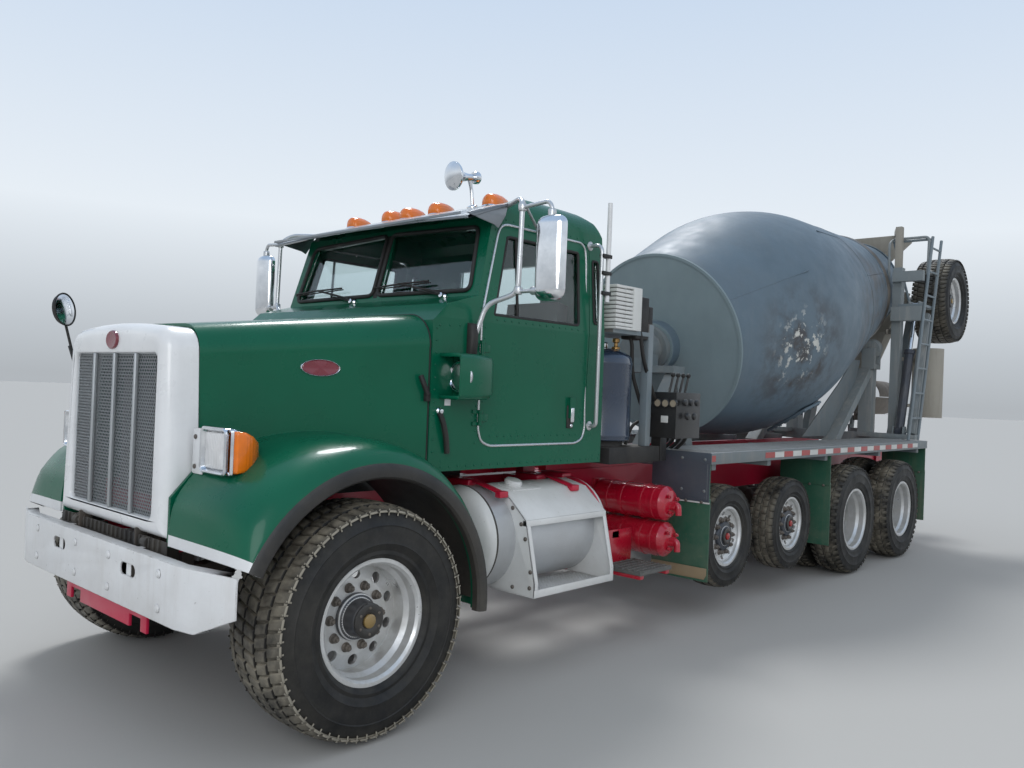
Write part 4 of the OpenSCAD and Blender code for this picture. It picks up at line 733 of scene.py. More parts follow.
def fender_row(angle):
    """A cross section of the left fender, from its lower lip over the top to the hood's side."""
    top = along_line(crest, angle)
    swing = radians(angle)
    station = -top * cos(swing)
    if station < -0.555:
        inner = 0.622
    elif station > 0.53:
        inner = 0.972 if station > 0.545 else 0.957
    else:
        inner = min(hood_half(max(station, -0.56)), 0.94) - 0.012
    reach = 1.226 - inner
    rise = top - lip_r
    section = [(1.18, arch_r), (1.2345, arch_r), (1.2345, arch_r + 0.03), (1.2345, lip_r)]
    section += [(1.2345 - reach * out, lip_r + rise * up)
        for out, up in ((0.012, 0.1), (0.035, 0.26), (0.075, 0.45), (0.14, 0.62), (0.24, 0.77), (0.38, 0.88),
        (0.55, 0.95), (0.75, 0.985), (0.92, 1.0), (1.0, 1.03))]
    return [spot(x, -r * cos(swing), wheel_z + r * sin(swing)) for x, r in section]


fender = lofted([fender_row(25.5 + 3.3 * step) for step in range(49)], 0.01)
skirt_edge = [(-0.7, 0.878), (-0.56, 0.878), (-0.552, 0.9)]
skirt_edge += [(-arch_r * cos(radians(a)), wheel_z + arch_r * sin(radians(a))) for a in range(34, 66, 4)]
skirt_edge += [(-0.28, 1.26), (-0.555, 1.26), (-0.7, 1.1)]


def plate(outline, depth, edge=0.0, segments=2):
    """A flat plate: a disc whose rim is moved to the outline, pushed through its thickness, edges rounded."""
    deselect()
    bpy.ops.mesh.primitive_circle_add(vertices=len(outline), radius=1, fill_type="NGON")
    piece = bpy.context.object
    for vertex, point in zip(piece.data.vertices, outline):
        vertex.co = placed(point)
    into_edit()
    bpy.ops.mesh.extrude_region_move(TRANSFORM_OT_translate={"value": depth})
    bpy.ops.mesh.select_all(action="SELECT")
    bpy.ops.mesh.normals_make_consistent(inside=False)
    out_of_edit()
    return rounded(piece, edge, segments) if edge else piece


skirt = plate([(0.6, s, z) for s, z in skirt_edge], Vector((0.018, 0, 0)))
left_side = joined(fender, skirt)
hood = joined(hood_body, left_side, mirrored_twin(left_side))
white_strip = painted("strip_white", (232, 234, 236), gloss=0.35, dust=0.4, level=1.2, rubbed=0.3)
fit(hood, "hood_shell", green_paint, "cab_green", "hood", body="hood_body", smooth=42)
recolour(hood, white_strip, lambda middle, normal: middle.z < 0.945 - 0.05 * (abs(middle.x) - 0.63)
    and middle.y < steer_y - 0.5 and abs(middle.x) > 0.628)

# The rubber lip pressed on the wheel arch's edge
lip_rubber = painted("lip_rubber", (30, 31, 32), gloss=0.5, coat=0.0, dust=0.35, level=1.3, rubbed=0.0,
    grain=0.5)
lip = []
for step in range(50):
    swing = radians(25.5 + 3.25 * step)
    section = [(1.195, 0.664), (1.232, 0.662), (1.246, 0.672), (1.25, 0.692), (1.247, 0.716), (1.24, 0.73),
        (1.233, 0.736), (1.195, 0.733), (1.195, 0.664)]
    lip.append([spot(x, -r * cos(swing), wheel_z + r * sin(swing)) for x, r in section])
lip_left = lofted(lip)
lip_right = mirrored_twin(lip_left)
fit(lip_left, "arch_lip_left", lip_rubber, "black_trim", body="hood_body")
fit(lip_right, "arch_lip_right", lip_rubber, "black_trim", body="hood_body")

# Splash aprons and a moulded liner close the wheel arch towards the engine and the cab; their black is also
# painted shade, standing for the dark inside of the arch where the hood shell keeps the light out
apron_line = [(-0.3, 1.06), (0.5, 1.06), (0.5, 1.4), (0.3, 1.5), (-0.3, 1.5)]
splash = plate([(0.594, s, z) for s, z in apron_line], Vector((0.006, 0, 0)), 0.001)
splash_twin = mirrored_twin(splash)
liner = lofted([[spot(x, -r * cos(radians(angle)), wheel_z + r * sin(radians(angle)))
    for x, r in ((1.205, 0.69), (1.1, 0.694), (0.9, 0.694), (0.7, 0.694), (0.625, 0.69))]
    for angle in range(40, 184, 4)], 0.004)
liner_twin = mirrored_twin(liner)
fit(joined(splash, splash_twin, liner, liner_twin), "splash_aprons", lip_rubber, "black_trim",
    body="hood_body")

# Crown: the deep white surround of the radiator, a moulded shell with soft outer corners, and its grille of
# punched sheet with three bright upright bars. The round badge at its top is left as a plain boss.
def crown_loop(inset, station, low=0.905, top=1.897):
    """An outline of the crown: square at its foot, round and slightly crowned at its head."""
    points = []
    corners = [(0.607, low, 0.03, -90), (0.556, top - 0.018, 0.12, 0), (-0.556, top - 0.018, 0.12, 90),
        (-0.607, low, 0.03, 180)]
    for x, z, radius, start in corners:
        way = 1 if x > 0 else -1
        above = z > 1.4
        r = max(radius - inset, 0.004)
        middle = (x - way * (inset + r), z + (-(inset + r) if above else inset + r))
        points += arc(*middle, r, start)
        if above and way > 0:
            for step in range(1, 8):
                x_now = middle[0] * (1 - step / 4)
                points.append((x_now, top - 0.018 - inset + 0.022 * (1 - (step / 4 - 1) ** 2)))
    loop = [spot(x, station, z) for x, z in points]
    return loop + loop[:1]


def opening_loop(grow, station):
    """The grille's opening with as many points as the crown's outline, so that the two can be joined."""
    points = []
    for x, z, start in ((0.475, 0.985, -90), (0.475, 1.75, 0), (-0.475, 1.75, 90), (-0.475, 0.985, 180)):
        way, above, r = (1 if x > 0 else -1), z > 1.4, 0.035 + grow
        middle = (x - way * 0.035, z + (-0.035 if above else 0.035))
        points += arc(*middle, r, start)
        if above and way > 0:
            for step in range(1, 8):
                points.append((middle[0] * (1 - step / 4), middle[1] + r))
    loop = [spot(x, station, z) for x, z in points]
    return loop + loop[:1]


front = -0.7245
loops = [crown_loop(0.0, -0.5605), crown_loop(0.0, -0.655)]
for step in range(1, 7):
    angle = radians(step * 15)
    loops.append(crown_loop(0.058 * (1 - cos(angle)), -0.6665 - 0.058 * sin(angle)))
loops += [crown_loop(0.075, front), opening_loop(0.012, front), opening_loop(0.004, front + 0.003),
    opening_loop(0.0, front + 0.012), opening_loop(0.0, -0.6985), opening_loop(0.006, -0.69),
    crown_loop(0.03, -0.69), crown_loop(0.018, -0.672), crown_loop(0.018, -0.5605), crown_loop(0.0, -0.5605)]
crown = lofted(loops)
hinge_ears = [box(spot(side * 0.33 - 0.008, -0.726, 0.845), spot(side * 0.33 + 0.008, -0.67, 0.93), 0.003)
    for side in (-1, 1)]
crown_white = painted("crown_white", (240, 242, 244), gloss=0.28, coat=0.7, dust=0.25, level=1.2, rubbed=0.15,
    stain=0.06, grain=0.05)
fit(crown, "crown_surround", crown_white, "body_white", "crown", body="hood_body", smooth=50)
fit(joined(*hinge_ears), "crown_hinge_ears", greasy_iron, "dark_iron", body="hood_body")

# One cell of the punched sheet is a hexagon with a round hole; arrays set the cells side by side, and the
# edge is cut
deselect()
bpy.ops.mesh.primitive_circle_add(vertices=6, radius=0.0105, fill_type="NGON", rotation=(pi / 2, 0, 0))
bpy.ops.object.transform_apply(rotation=True)
cell = bpy.context.object
into_edit()
bpy.ops.mesh.inset(thickness=0.0027)
bpy.ops.mesh.delete(type="FACE")
out_of_edit()
cell.data.transform(Matrix.Rotation(pi / 2, 4, "Y"))
width, height = 0.0105 * sqrt(3), 0.0105 * 1.5
across = int(0.98 / width) + 1
upwards = int(0.8 / (2 * height)) + 1
grid = repeat(cell, [Vector((0, 0, 0)), Vector((width / 2, 0, height))])
for name, count, offset in (("across", across, (width, 0, 0)), ("upwards", upwards, (0, 0, 2 * height))):
    only(grid)
    row = grid.modifiers.new(name, "ARRAY")
    row.count, row.use_relative_offset, row.use_constant_offset = count, False, True
    row.constant_offset_displace = offset
    row.use_merge_vertices, row.merge_threshold = True, 0.0002
    bpy.ops.object.modifier_apply(modifier=name)
grid.data.transform(Matrix.Translation(spot(-0.485, -0.7, 0.975)))
only(grid)
bpy.ops.object.mode_set(mode="EDIT")
for side_place, outwards in ((spot(-0.474, 0, 0), (-1, 0, 0)), (spot(0.474, 0, 0), (1, 0, 0)),
        (spot(0, 0, 0.986), (0, 0, -1)), (spot(0, 0, 1.749), (0, 0, 1))):
    bpy.ops.mesh.select_all(action="SELECT")
    bpy.ops.mesh.bisect(plane_co=side_place, plane_no=outwards, clear_outer=True)
bpy.ops.mesh.select_all(action="SELECT")
bpy.ops.mesh.normals_make_consistent(inside=False)
out_of_edit()
sheet_wall = grid.modifiers.new("wall", "SOLIDIFY")
sheet_wall.thickness, sheet_wall.offset = 0.0025, 0
bpy.ops.object.modifier_apply(modifier="wall")
grille_alloy = painted("grille_alloy", (182, 186, 188), gloss=0.36, coat=0.0, dust=0.05, level=2.0,
    rubbed=0.0, metallic=0.7, grain=0.02, dusty=(120, 114, 104))
fit(grid, "grille_sheet", grille_alloy, "bright_trim", body="hood_body", smooth=10)
bar = box((-0.0095, -0.722, 0.984), (0.0095, -0.7, 1.751), 0.006, 3)
fit(repeat(bar, [Vector((x, 0, 0)) for x in (-0.238, 0.0, 0.238)]), "grille_bars", grille_alloy,
    "bright_trim", body="hood_body")
edging = [box((-0.478, -0.703, z - 0.006), (0.478, -0.694, z + 0.006), 0.002) for z in (0.984, 1.751)]
edging += [box((x - 0.006, -0.703, 0.98), (x + 0.006, -0.694, 1.755), 0.002) for x in (-0.476, 0.476)]
fit(joined(*edging), "grille_edging", grille_alloy, "bright_trim", body="hood_body")
boss = turned([(0, 0.004), (0.05, 0.004), (0.053, 0.0), (0.053, -0.008), (0.047, -0.013), (0.042, -0.012),
    (0.0, -0.014)], (0, front, 1.815), (0, 1, 0), 40)
boss.data.transform(Matrix.Translation((0, 0, 1.815)) @ Matrix.Diagonal((1.22, 1, 0.88, 1))
    @ Matrix.Translation((0, 0, -1.815)))
badge_red = painted("plain_badge_red", (120, 22, 44), gloss=0.25, coat=0.8, dust=0.2, level=1.6, rubbed=0.1)
fit(boss, "crown_boss", badge_red, "bright_trim", body="hood_body")

# Headlamps: each a square sealed lamp and an amber turn lens in one chromed pod, on a white plate bolted to
# the hood's side. The pod is lofted back to a narrow tail; reflector, glass and lens are pieces of their own.
chrome, tree, shader = new_finish("chrome", Metallic=1.0)
coords = add(tree, "TexCoord").outputs["Object"]
tree.links.new(blend_colour(tree, blotches(tree, coords, 8.0, 0.3, 0.7), tone(206, 209, 213),
    tone(236, 237, 239)), shader.inputs["Base Color"])
film = add(tree, "MapRange", (0, blotches(tree, coords, 17.0, 0.35, 0.75)), (3, 0.06), (4, 0.2)).outputs[0]
tree.links.new(film, shader.inputs["Roughness"])
ripple = add(tree, "TexNoise", ("Vector", coords), ("Scale", 11.0), ("Detail", 1.0)).outputs[0]
soft_edge = add(tree, "Bevel", ("Radius", 0.003), samples=3).outputs[0]
ripple_bump = add(tree, "Bump", ("Strength", 0.05), ("Distance", 0.004), ("Height", ripple),
    ("Normal", soft_edge)).outputs[0]
tree.links.new(ripple_bump, shader.inputs["Normal"])


def lens(name, colour, clear, ribs):
    """Moulded lens plastic: coloured through, glossy, with fine upright ribs on its inner side."""
    made, tree, shader = new_finish(name, Transmission_Weight=clear, IOR=1.49, Coat_Weight=0.5)
    coords = add(tree, "TexCoord").outputs["Object"]
    deep = tuple(c * 0.88 for c in tone(*colour)[:3]) + (1,)
    tree.links.new(blend_colour(tree, blotches(tree, coords, 20.0, 0.35, 0.7), deep, tone(*colour)),
        shader.inputs["Base Color"])
    rough_now = add(tree, "MapRange", (0, blotches(tree, coords, 30.0, 0.3, 0.7)), (3, 0.08),
        (4, 0.2)).outputs[0]
    tree.links.new(rough_now, shader.inputs["Roughness"])
    wave = add(tree, "TexWave", ("Vector", coords), ("Scale", ribs), bands_direction="X").outputs[1]
    tree.links.new(add(tree, "Bump", ("Strength", 0.5), ("Distance", 0.002), ("Height", wave)).outputs[0],
        shader.inputs["Normal"])
    return made


amber = lens("amber_lens", (255, 130, 4), 0.1, 30.0)
# The lamp glass lets little light through and is near-white, a painted reflection for the brightness a clear
# glass over a chrome bowl would show
lamp_glass = lens("lamp_glass", (255, 255, 255), 0.3, 22.0)


def ring_of(low_x, high_x, low_z, high_z, radius, station, count=5):
    """A rounded rectangle facing forwards, as a closed row of points."""
    row = []
    for x, z, start in ((high_x, low_z, -90), (high_x, high_z, 0), (low_x, high_z, 90), (low_x, low_z, 180)):
        middle = (x - radius if x == high_x else x + radius, z - radius if z == high_z else z + radius)
        row += [spot(near, station, up) for near, up in arc(*middle, radius, start, count)]
    return row + row[:1]


pod = lofted([ring_of(0.68, 0.86, 1.262, 1.428, 0.012, -0.617),
    ring_of(0.672, 0.868, 1.254, 1.436, 0.016, -0.636), ring_of(0.664, 0.878, 1.246, 1.444, 0.022, -0.64),
    ring_of(0.655, 0.886, 1.24, 1.45, 0.026, -0.633), ring_of(0.652, 0.889, 1.238, 1.452, 0.028, -0.61),
    ring_of(0.66, 0.885, 1.244, 1.446, 0.035, -0.56), ring_of(0.7, 0.85, 1.275, 1.42, 0.045, -0.48),
    ring_of(0.735, 0.815, 1.31, 1.39, 0.036, -0.448), ring_of(0.772, 0.776, 1.348, 1.352, 0.002, -0.44)])
reflector = turned([(0.0, 0.03), (0.03, 0.027), (0.06, 0.015), (0.088, -0.004), (0.092, -0.006), (0.092, 0.0),
    (0.065, 0.022), (0.0, 0.036)], (0.77, -0.612, 1.345), (0, 1, 0), 40)
glow = turned([(0, 0.0), (0.011, -0.002), (0.014, -0.012), (0.008, -0.024), (0, -0.027)],
    (0.77, -0.585, 1.345), (0, 1, 0), 20)
face = lofted([ring_of(0.768, 0.772, 1.343, 1.347, 0.001, -0.634),
    ring_of(0.7, 0.84, 1.28, 1.41, 0.03, -0.63), ring_of(0.684, 0.856, 1.266, 1.424, 0.014, -0.624),
    ring_of(0.681, 0.859, 1.263, 1.427, 0.012, -0.616)])
mask_ring = lofted([ring_of(0.676, 0.864, 1.258, 1.432, 0.014, -0.612),
    ring_of(0.69, 0.85, 1.272, 1.418, 0.06, -0.606), ring_of(0.7, 0.84, 1.282, 1.408, 0.062, -0.6)])
amber_rows = [ring_of(0.886, 0.905, 1.256, 1.434, 0.008, -0.618),
    ring_of(0.884, 0.925, 1.252, 1.438, 0.014, -0.598), ring_of(0.874, 0.928, 1.256, 1.434, 0.016, -0.56),
    ring_of(0.848, 0.905, 1.274, 1.416, 0.02, -0.51), ring_of(0.812, 0.868, 1.3, 1.392, 0.022, -0.466),
    ring_of(0.79, 0.83, 1.325, 1.366, 0.016, -0.445), ring_of(0.806, 0.81, 1.343, 1.347, 0.002, -0.438)]
turn_lens = lofted(amber_rows)
rim_trim = lofted([ring_of(0.88, 0.912, 1.246, 1.444, 0.01, -0.628),
    ring_of(0.88, 0.918, 1.244, 1.446, 0.01, -0.616), ring_of(0.886, 0.908, 1.254, 1.436, 0.008, -0.612)])
for piece in (pod, reflector, glow, face, mask_ring, turn_lens, rim_trim):
    piece.data.transform(Matrix.Translation((0.028, 0.03, -0.022)))
# Painted reflection: the reflector and its bowl are near-white and barely metallic, standing for the sky
# mirrored in a chrome bowl
reflector_white = painted("reflector_silver", (250, 251, 252), gloss=0.25, coat=0.6, dust=0.0, level=1.0, rubbed=0.0,
    metallic=0.1)
bracket = box((0.6075, -0.6, 1.206), (0.7, -0.592, 1.415), 0.004)
arm = box((0.55, -0.548, 1.26), (0.75, -0.535, 1.39), 0.004)
screw = turned([(0, 0.002), (0.011, 0.002), (0.011, -0.003), (0.008, -0.006), (0, -0.006)], along=(0, 1, 0),
    steps=14)
screws = repeat(screw, [spot(0.635, -0.601, z) for z in (1.24, 1.375)])
for side in ("left", "right"):
    other = side == "right"
    for piece, finish, label, slot in ((pod, chrome, "pod", "bright_trim"),
            (reflector, reflector_white, "reflector", "bright_trim"), (glow, lamp_glass, "bulb", "bright_trim"),
            (face, lamp_glass, "glass", "cab_glass"), (mask_ring, reflector_white, "bowl", "bright_trim"),
            (turn_lens, amber, "turn_lens", "bright_trim"), (rim_trim, chrome, "lens_rim", "bright_trim"),
            (joined(bracket, arm) if not other else bracket, white_strip, "plate", "body_white"),
            (screws, nut_steel, "screws", "dark_iron")):
        shown = piece if not other else mirrored_twin(bpy.data.objects["headlamp_left_" + label])
        fit(shown, "headlamp_" + side + "_" + label, finish, slot, body="hood_body")
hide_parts("headlamps")

# Cab: riveted aluminium panels on a frame, glossy green, with a split windshield set in black rubber.
# Shell, seats and dash are the CAD nodes; gaskets, rivets, intake box, straps and wipers are fitted on them.
coat(green_paint, "cab_shell")
cab_trim = painted("cab_trim", (116, 114, 112), gloss=0.75, coat=0.0, dust=0.15, level=2.0, rubbed=0.05)
coat(cab_trim, "cab_interior")
glass, tree, shader = new_finish("window_glass", Transmission_Weight=1.0, IOR=1.45,
    Base_Color=(0.8, 0.88, 0.88, 1))
film = use(tree, run_down, Amount=0.3, Size=5.0, Low=0.45, High=0.85)
tree.links.new(add(tree, "MapRange", (0, film), (3, 0.015), (4, 0.3)).outputs[0], shader.inputs["Roughness"])
coat(glass, "cab_glass")


def bent(points, radius, steps=6):
    """The same path with every inner corner turned into a curve of about that radius."""
    path = [Vector(points[0])]
    for before, corner, after in zip(points, points[1:], points[2:]):
        before, corner, after = Vector(before), Vector(corner), Vector(after)
        cut = min(radius, (corner - before).length * 0.48, (after - corner).length * 0.48)
        start = corner + (before - corner).normalized() * cut
        end = corner + (after - corner).normalized() * cut
        for step in range(steps + 1):
            share = step / steps
            path.append(start * (1 - share) ** 2 + corner * 2 * share * (1 - share) + end * share ** 2)
    return path + [Vector(points[-1])]


def tube(points, radius, corner=0.0, closed=False, sides=3):
    """A round bar or hose along a path: a bevelled curve made into a mesh, with its ends closed."""
    points = [placed(point) for point in points]
    path = bent(points, corner) if corner else points
    deselect()
    bpy.ops.curve.primitive_bezier_curve_add()
    piece = bpy.context.object
    piece.data.splines.clear()
    line = piece.data.splines.new("POLY")
    line.points.add(len(path) - 1)
    for held, point in zip(line.points, path):
        held.co = (*point, 1)
    line.use_cyclic_u = closed
    piece.data.bevel_depth, piece.data.bevel_resolution, piece.data.use_fill_caps = radius, sides, True
    only(piece)
    bpy.ops.object.convert(target="MESH")
    return bpy.context.object


def both(piece, name, material, slot, body="chassis", smooth=35):
    """Fits a left-hand piece and its mirrored twin; a body that ends in _left has its own twin."""
    other = body.replace("_left", "_right")
    twin = mirrored_twin(piece)
    fit(piece, name + "_left", material, slot, body=body, smooth=smooth)
    fit(twin, name + "_right", material, slot, body=other, smooth=smooth)
    return piece


def on_side(z, out=0.0):
    """Distance of the cab's side from the middle at a height: it leans in above the belt."""
    return 0.95 + out - max(0.0, z - 2.02) * 0.078


def on_glass(x, z, out=0.0):
    """A point on the sloped windshield panel, out metres in front of it."""
    return spot(x, 0.88 + (z - 2.165) * 0.2737 - out, z + out * 0.27)


seal_rubber = painted("seal_rubber", (26, 26, 27), gloss=0.62, coat=0.0, dust=0.25, level=2.4, rubbed=0.0)
pane = [on_glass(x, z, 0.004) for x, z in ((0.022, 2.205), (0.022, 2.606), (0.812, 2.58), (0.862, 2.198),
    (0.022, 2.205))]
gasket = tube([(pane[0] + pane[1]) / 2] + pane[1:4] + [pane[0], (pane[0] + pane[1]) / 2], 0.013, 0.05)
both(gasket, "windshield_gasket", seal_rubber, "black_trim")
post = box((-0.024, 0.885, 2.19), (0.024, 0.905, 2.62), 0.005)
post.data.transform(turn_about(spot(0, 0.888, 2.19), -0.267, "X"))
fit(post, "windshield_post", seal_rubber, "black_trim")
side_gasket = tube([(on_side(z, 0.001), s, z) for s, z in ((1.944, 2.3), (1.944, 2.505), (2.003, 2.505),
    (2.003, 2.095), (1.944, 2.095), (1.944, 2.3))], 0.009, 0.02)
both(side_gasket, "side_window_gasket", seal_rubber, "black_trim")
seam = tube([(x, 0.534, z) for x, z in hood_section(0.53, 1.25)[:13]]
    + [(-x, 0.534, z) for x, z in reversed(hood_section(0.53, 1.25)[:13])], 0.0045)
fit(seam, "hood_seal", seal_rubber, "black_trim")

# Rivets in rows: one dome, copied at its pitch and turned to lie on its panel
rivet = turned([(0.0, -0.001), (0.0072, -0.001), (0.0062, 0.002), (0.0032, 0.0036), (0.0, 0.004)], steps=8)


def row_of(start, end, pitch):
    """Even places from one point to another, about a pitch apart."""
    count = max(2, int((Vector(end) - Vector(start)).length / pitch) + 1)
    return [Vector(start).lerp(Vector(end), i / (count - 1)) for i in range(count)]


rivet_rows = [((0.565, 1.215), (2.04, 1.215)), ((0.565, 1.23), (0.565, 1.96)),
    ((0.585, 1.975), (0.885, 1.995)), ((0.882, 1.34), (0.882, 1.95)), ((1.893, 1.4), (1.893, 2.52)),
    ((2.045, 1.24), (2.045, 2.45)), ((0.9, 2.1), (1.03, 2.56)), ((1.12, 2.632), (1.86, 2.632))]
places = [point for start, end in rivet_rows for point in row_of(spot(on_side(start[1]), *start),
    spot(on_side(end[1]), *end), 0.062)]
both(repeat(rivet, places), "cab_rivets", green_paint, "cab_green", smooth=60)

# Air intake: a green box on each cowl, open to the front, with a round chromed screen inside
intake_rows = []
for station, reach, low, high in ((0.602, 0.15, 1.585, 1.822), (0.606, 0.156, 1.58, 1.827),
        (0.7, 0.156, 1.58, 1.827), (0.84, 0.15, 1.583, 1.824), (0.905, 0.105, 1.594, 1.813),
        (0.93, 0.03, 1.61, 1.8), (0.934, -0.002, 1.62, 1.79)):
    corner = 0.03
    section = [(0.9495, low), (0.9495 + reach - corner, low),
        (0.9495 + reach - corner * 0.3, low + corner * 0.3), (0.9495 + reach, low + corner),
        (0.9495 + reach, high - corner), (0.9495 + reach - corner * 0.3, high - corner * 0.3),
        (0.9495 + reach - corner, high), (0.9495, high)]
    intake_rows.append([spot(max(x, 0.9495), station, z) for x, z in section])
intake = lofted(intake_rows, 0.007)
intake_back = plate([(0.95, 0.7, 1.59), (1.098, 0.7, 1.59), (1.098, 0.7, 1.817), (0.95, 0.7, 1.817)],
    Vector((0, 0.006, 0)))
lip_frame = box((0.952, 0.596, 1.583), (1.1, 0.604, 1.6), 0.003)
lip_top = box((0.952, 0.596, 1.806), (1.1, 0.604, 1.824), 0.003)
both(joined(intake, intake_back, lip_frame, lip_top), "intake_box", green_paint, "cab_green", smooth=50)
screen = turned([(0, 0.012), (0.078, 0.012), (0.086, 0.004), (0.09, -0.012), (0.082, -0.016), (0.074, -0.006),
    (0.03, -0.016), (0, -0.018)], (1.022, 0.69, 1.703), (0, 1, 0), 36)
both(screen, "intake_screen", chrome, "bright_trim")

# Rubber hold-down straps of the hood, and the small chromed lock above the lower one
strap = tube([(0.945, 0.47, 1.7), (0.96, 0.478, 1.66), (0.966, 0.505, 1.6)], 0.014, 0.02)
catch = box((0.945, 0.492, 1.565), (0.972, 0.522, 1.612), 0.005)
both(joined(strap, catch), "hood_strap", seal_rubber, "black_trim", body="hood_body")
pull = tube([(0.962, 0.598, 1.505), (0.972, 0.615, 1.46), (0.974, 0.64, 1.38), (0.962, 0.662, 1.29)], 0.015,
    0.05)
both(pull, "cowl_strap", seal_rubber, "black_trim")
lock = turned([(0, 0.0), (0.018, 0.0), (0.02, 0.01), (0.012, 0.018), (0.012, 0.03), (0, 0.034)],
    (0.949, 0.598, 1.515), (1, 0, 0), 20)
both(lock, "cowl_lock", chrome, "bright_trim")
blank_label = box((0.9495, 0.64, 1.545), (0.952, 0.684, 1.583), 0.0)
both(blank_label, "cowl_blank_label", white_strip, "body_white")

# Wipers: a chromed pivot, a black arm and a blade that lies on the glass
reach = -0.42
for x in (0.66, -0.2):
    pivot = turned([(0, 0.0), (0.024, 0.0), (0.024, 0.014), (0.015, 0.024), (0.015, 0.038), (0, 0.042)],
        on_glass(x, 2.168), (0, -0.96, 0.26), 20)
    label = "a" if x > 0 else "b"
    fit(pivot, "wiper_pivot_" + label, chrome, "bright_trim")
    tip = on_glass(x + reach, 2.262, 0.022)
    arm = tube([on_glass(x, 2.17, 0.034), on_glass(x - 0.06, 2.19, 0.036), tip], 0.007, 0.02)
    second = tube([on_glass(x + 0.01, 2.165, 0.03), on_glass(x - 0.2, 2.205, 0.034)], 0.004)
    blade = tube([on_glass(x + reach - 0.26, 2.25, 0.016), tip + Vector((0, 0.004, 0)),
        on_glass(x + reach + 0.26, 2.268, 0.016)], 0.006, 0.05)
    rubber_edge = tube([on_glass(x + reach - 0.27, 2.243, 0.008), on_glass(x + reach + 0.27, 2.261, 0.008)],
        0.004)
    fit(joined(arm, second, blade, rubber_edge), "wiper_" + label, seal_rubber, "black_trim")

# Oval boss on each hood side, left plain, and a mirror on a stalk over the right fender
oval = turned([(0, 0.0), (0.094, 0.0), (0.096, 0.005), (0.088, 0.009), (0.083, 0.0075), (0, 0.01)], steps=40)
flank_place = spot(hood_half(-0.02) - 0.001, -0.02, 1.716)
hood_flank = Matrix.Translation(flank_place) @ Matrix.Rotation(-0.335, 4, "Z")
oval.data.transform(hood_flank @ Matrix.Scale(0.42, 4, (0, 0, 1)))
both(oval, "hood_side_boss", badge_red, "bright_trim", body="hood_body")
boss_ring = turned([(0.093, 0.0), (0.101, 0.0), (0.101, 0.007), (0.097, 0.011), (0.093, 0.008)], steps=40)
boss_ring.data.transform(hood_flank @ Matrix.Scale(0.42, 4, (0, 0, 1)))
both(boss_ring, "hood_side_boss_ring", chrome, "bright_trim", body="hood_body")
stalk = tube([(-1.0, -0.44, 1.33), (-1.02, -0.5, 1.62), (-1.03, -0.58, 1.93), (-1.03, -0.585, 1.99)], 0.008,
    0.05)
stay = tube([(-0.8, -0.5, 1.36), (-1.02, -0.56, 1.8)], 0.005)
fit(joined(stalk, stay), "fender_mirror_stalk", seal_rubber, "black_trim", body="hood_body")
mirror_at, mirror_axis = spot(-1.03, -0.605, 2.01), (0.8, 0.58, 0.12)
back_shell = turned([(0, 0.0), (0.05, -0.012), (0.085, -0.002), (0.097, 0.018), (0.099, 0.026),
    (0.093, 0.028), (0.09, 0.022), (0, 0.022)], mirror_at, mirror_axis, 40)
fit(back_shell, "fender_mirror_shell", seal_rubber, "black_trim", body="hood_body")
front_glass = turned([(0, 0.025), (0.089, 0.022), (0.089, 0.024), (0.06, 0.029), (0, 0.034)], mirror_at,
    mirror_axis, 40)
fit(front_glass, "fender_mirror_glass", chrome, "bright_trim", body="hood_body")

# Doors: flat riveted aluminium panels, each with a window in a black channel and a chromed paddle handle in a
# black dish. The panel is the CAD node, and what is fitted to it rides on it; the bright drip moulding round
# the door stays on the cab.
coat(green_paint, "door_left", "door_right")
door_line = [(0.9, 2.05), (0.9, 1.415), (0.926, 1.346), (0.995, 1.32), (1.78, 1.32), (1.849, 1.346),
    (1.875, 1.415), (1.875, 2.5), (1.868, 2.575), (1.83, 2.606), (1.12, 2.606), (1.07, 2.585), (1.045, 2.54),
    (0.9, 2.05)]
moulding = painted("bright_moulding", (214, 216, 218), gloss=0.2, coat=0.4, dust=0.25, level=2.2, rubbed=0.2,
    metallic=0.75)
trim_line = tube([(on_side(z, 0.002), s, z) for s, z in door_line], 0.0075, 0.03)
both(trim_line, "door_moulding", moulding, "bright_trim")
window_line = [(1.25, 2.068), (1.008, 2.068), (1.012, 2.085), (1.13, 2.53), (1.15, 2.537), (1.795, 2.537),
    (1.803, 2.52), (1.79, 2.068), (1.25, 2.068)]
channel = tube([(on_side(z, -0.006), s, z) for s, z in window_line], 0.01, 0.03)
vent_bar = tube([(on_side(2.07, -0.012), 1.215, 2.07), (on_side(2.53, -0.012), 1.215, 2.53)], 0.009)
both(joined(channel, vent_bar), "door_window_channel", seal_rubber, "black_trim", body="door_left_body")
pane_line = [(1.004, 2.064), (1.126, 2.541), (1.807, 2.541), (1.796, 2.064)]
pane = plate([(on_side(z, -0.022), s, z) for s, z in pane_line], Vector((0.005, 0, 0)))
both(pane, "door_pane", glass, "cab_glass", body="door_left_body")
rivet_rows = [((1.03, 2.04), (1.84, 2.04)), ((1.0, 1.375), (1.79, 1.375)), ((0.932, 1.45), (0.932, 1.99)),
    ((1.846, 1.45), (1.846, 2.5))]
places = [point for start, end in rivet_rows for point in row_of(spot(on_side(start[1]), *start),
    spot(on_side(end[1]), *end), 0.058)]
rivet = turned([(0.0, -0.001), (0.0066, -0.001), (0.0058, 0.0018), (0.003, 0.0032), (0.0, 0.0036)], steps=8)
both(repeat(rivet, places), "door_rivets", green_paint, "cab_green", body="door_left_body", smooth=60)
dish = box((0.944, 1.69, 1.415), (0.958, 1.752, 1.56), 0.006, 3)
dish_back = turned([(0, 0.0), (0.027, 0.0), (0.03, 0.003), (0.028, 0.006), (0, 0.007)], (0.953, 1.721, 1.452),
    (1, 0, 0), 28)
both(joined(dish, dish_back), "door_handle_dish", seal_rubber, "black_trim", body="door_left_body")
paddle = box((0.957, 1.712, 1.452), (0.973, 1.745, 1.545), 0.006, 3)
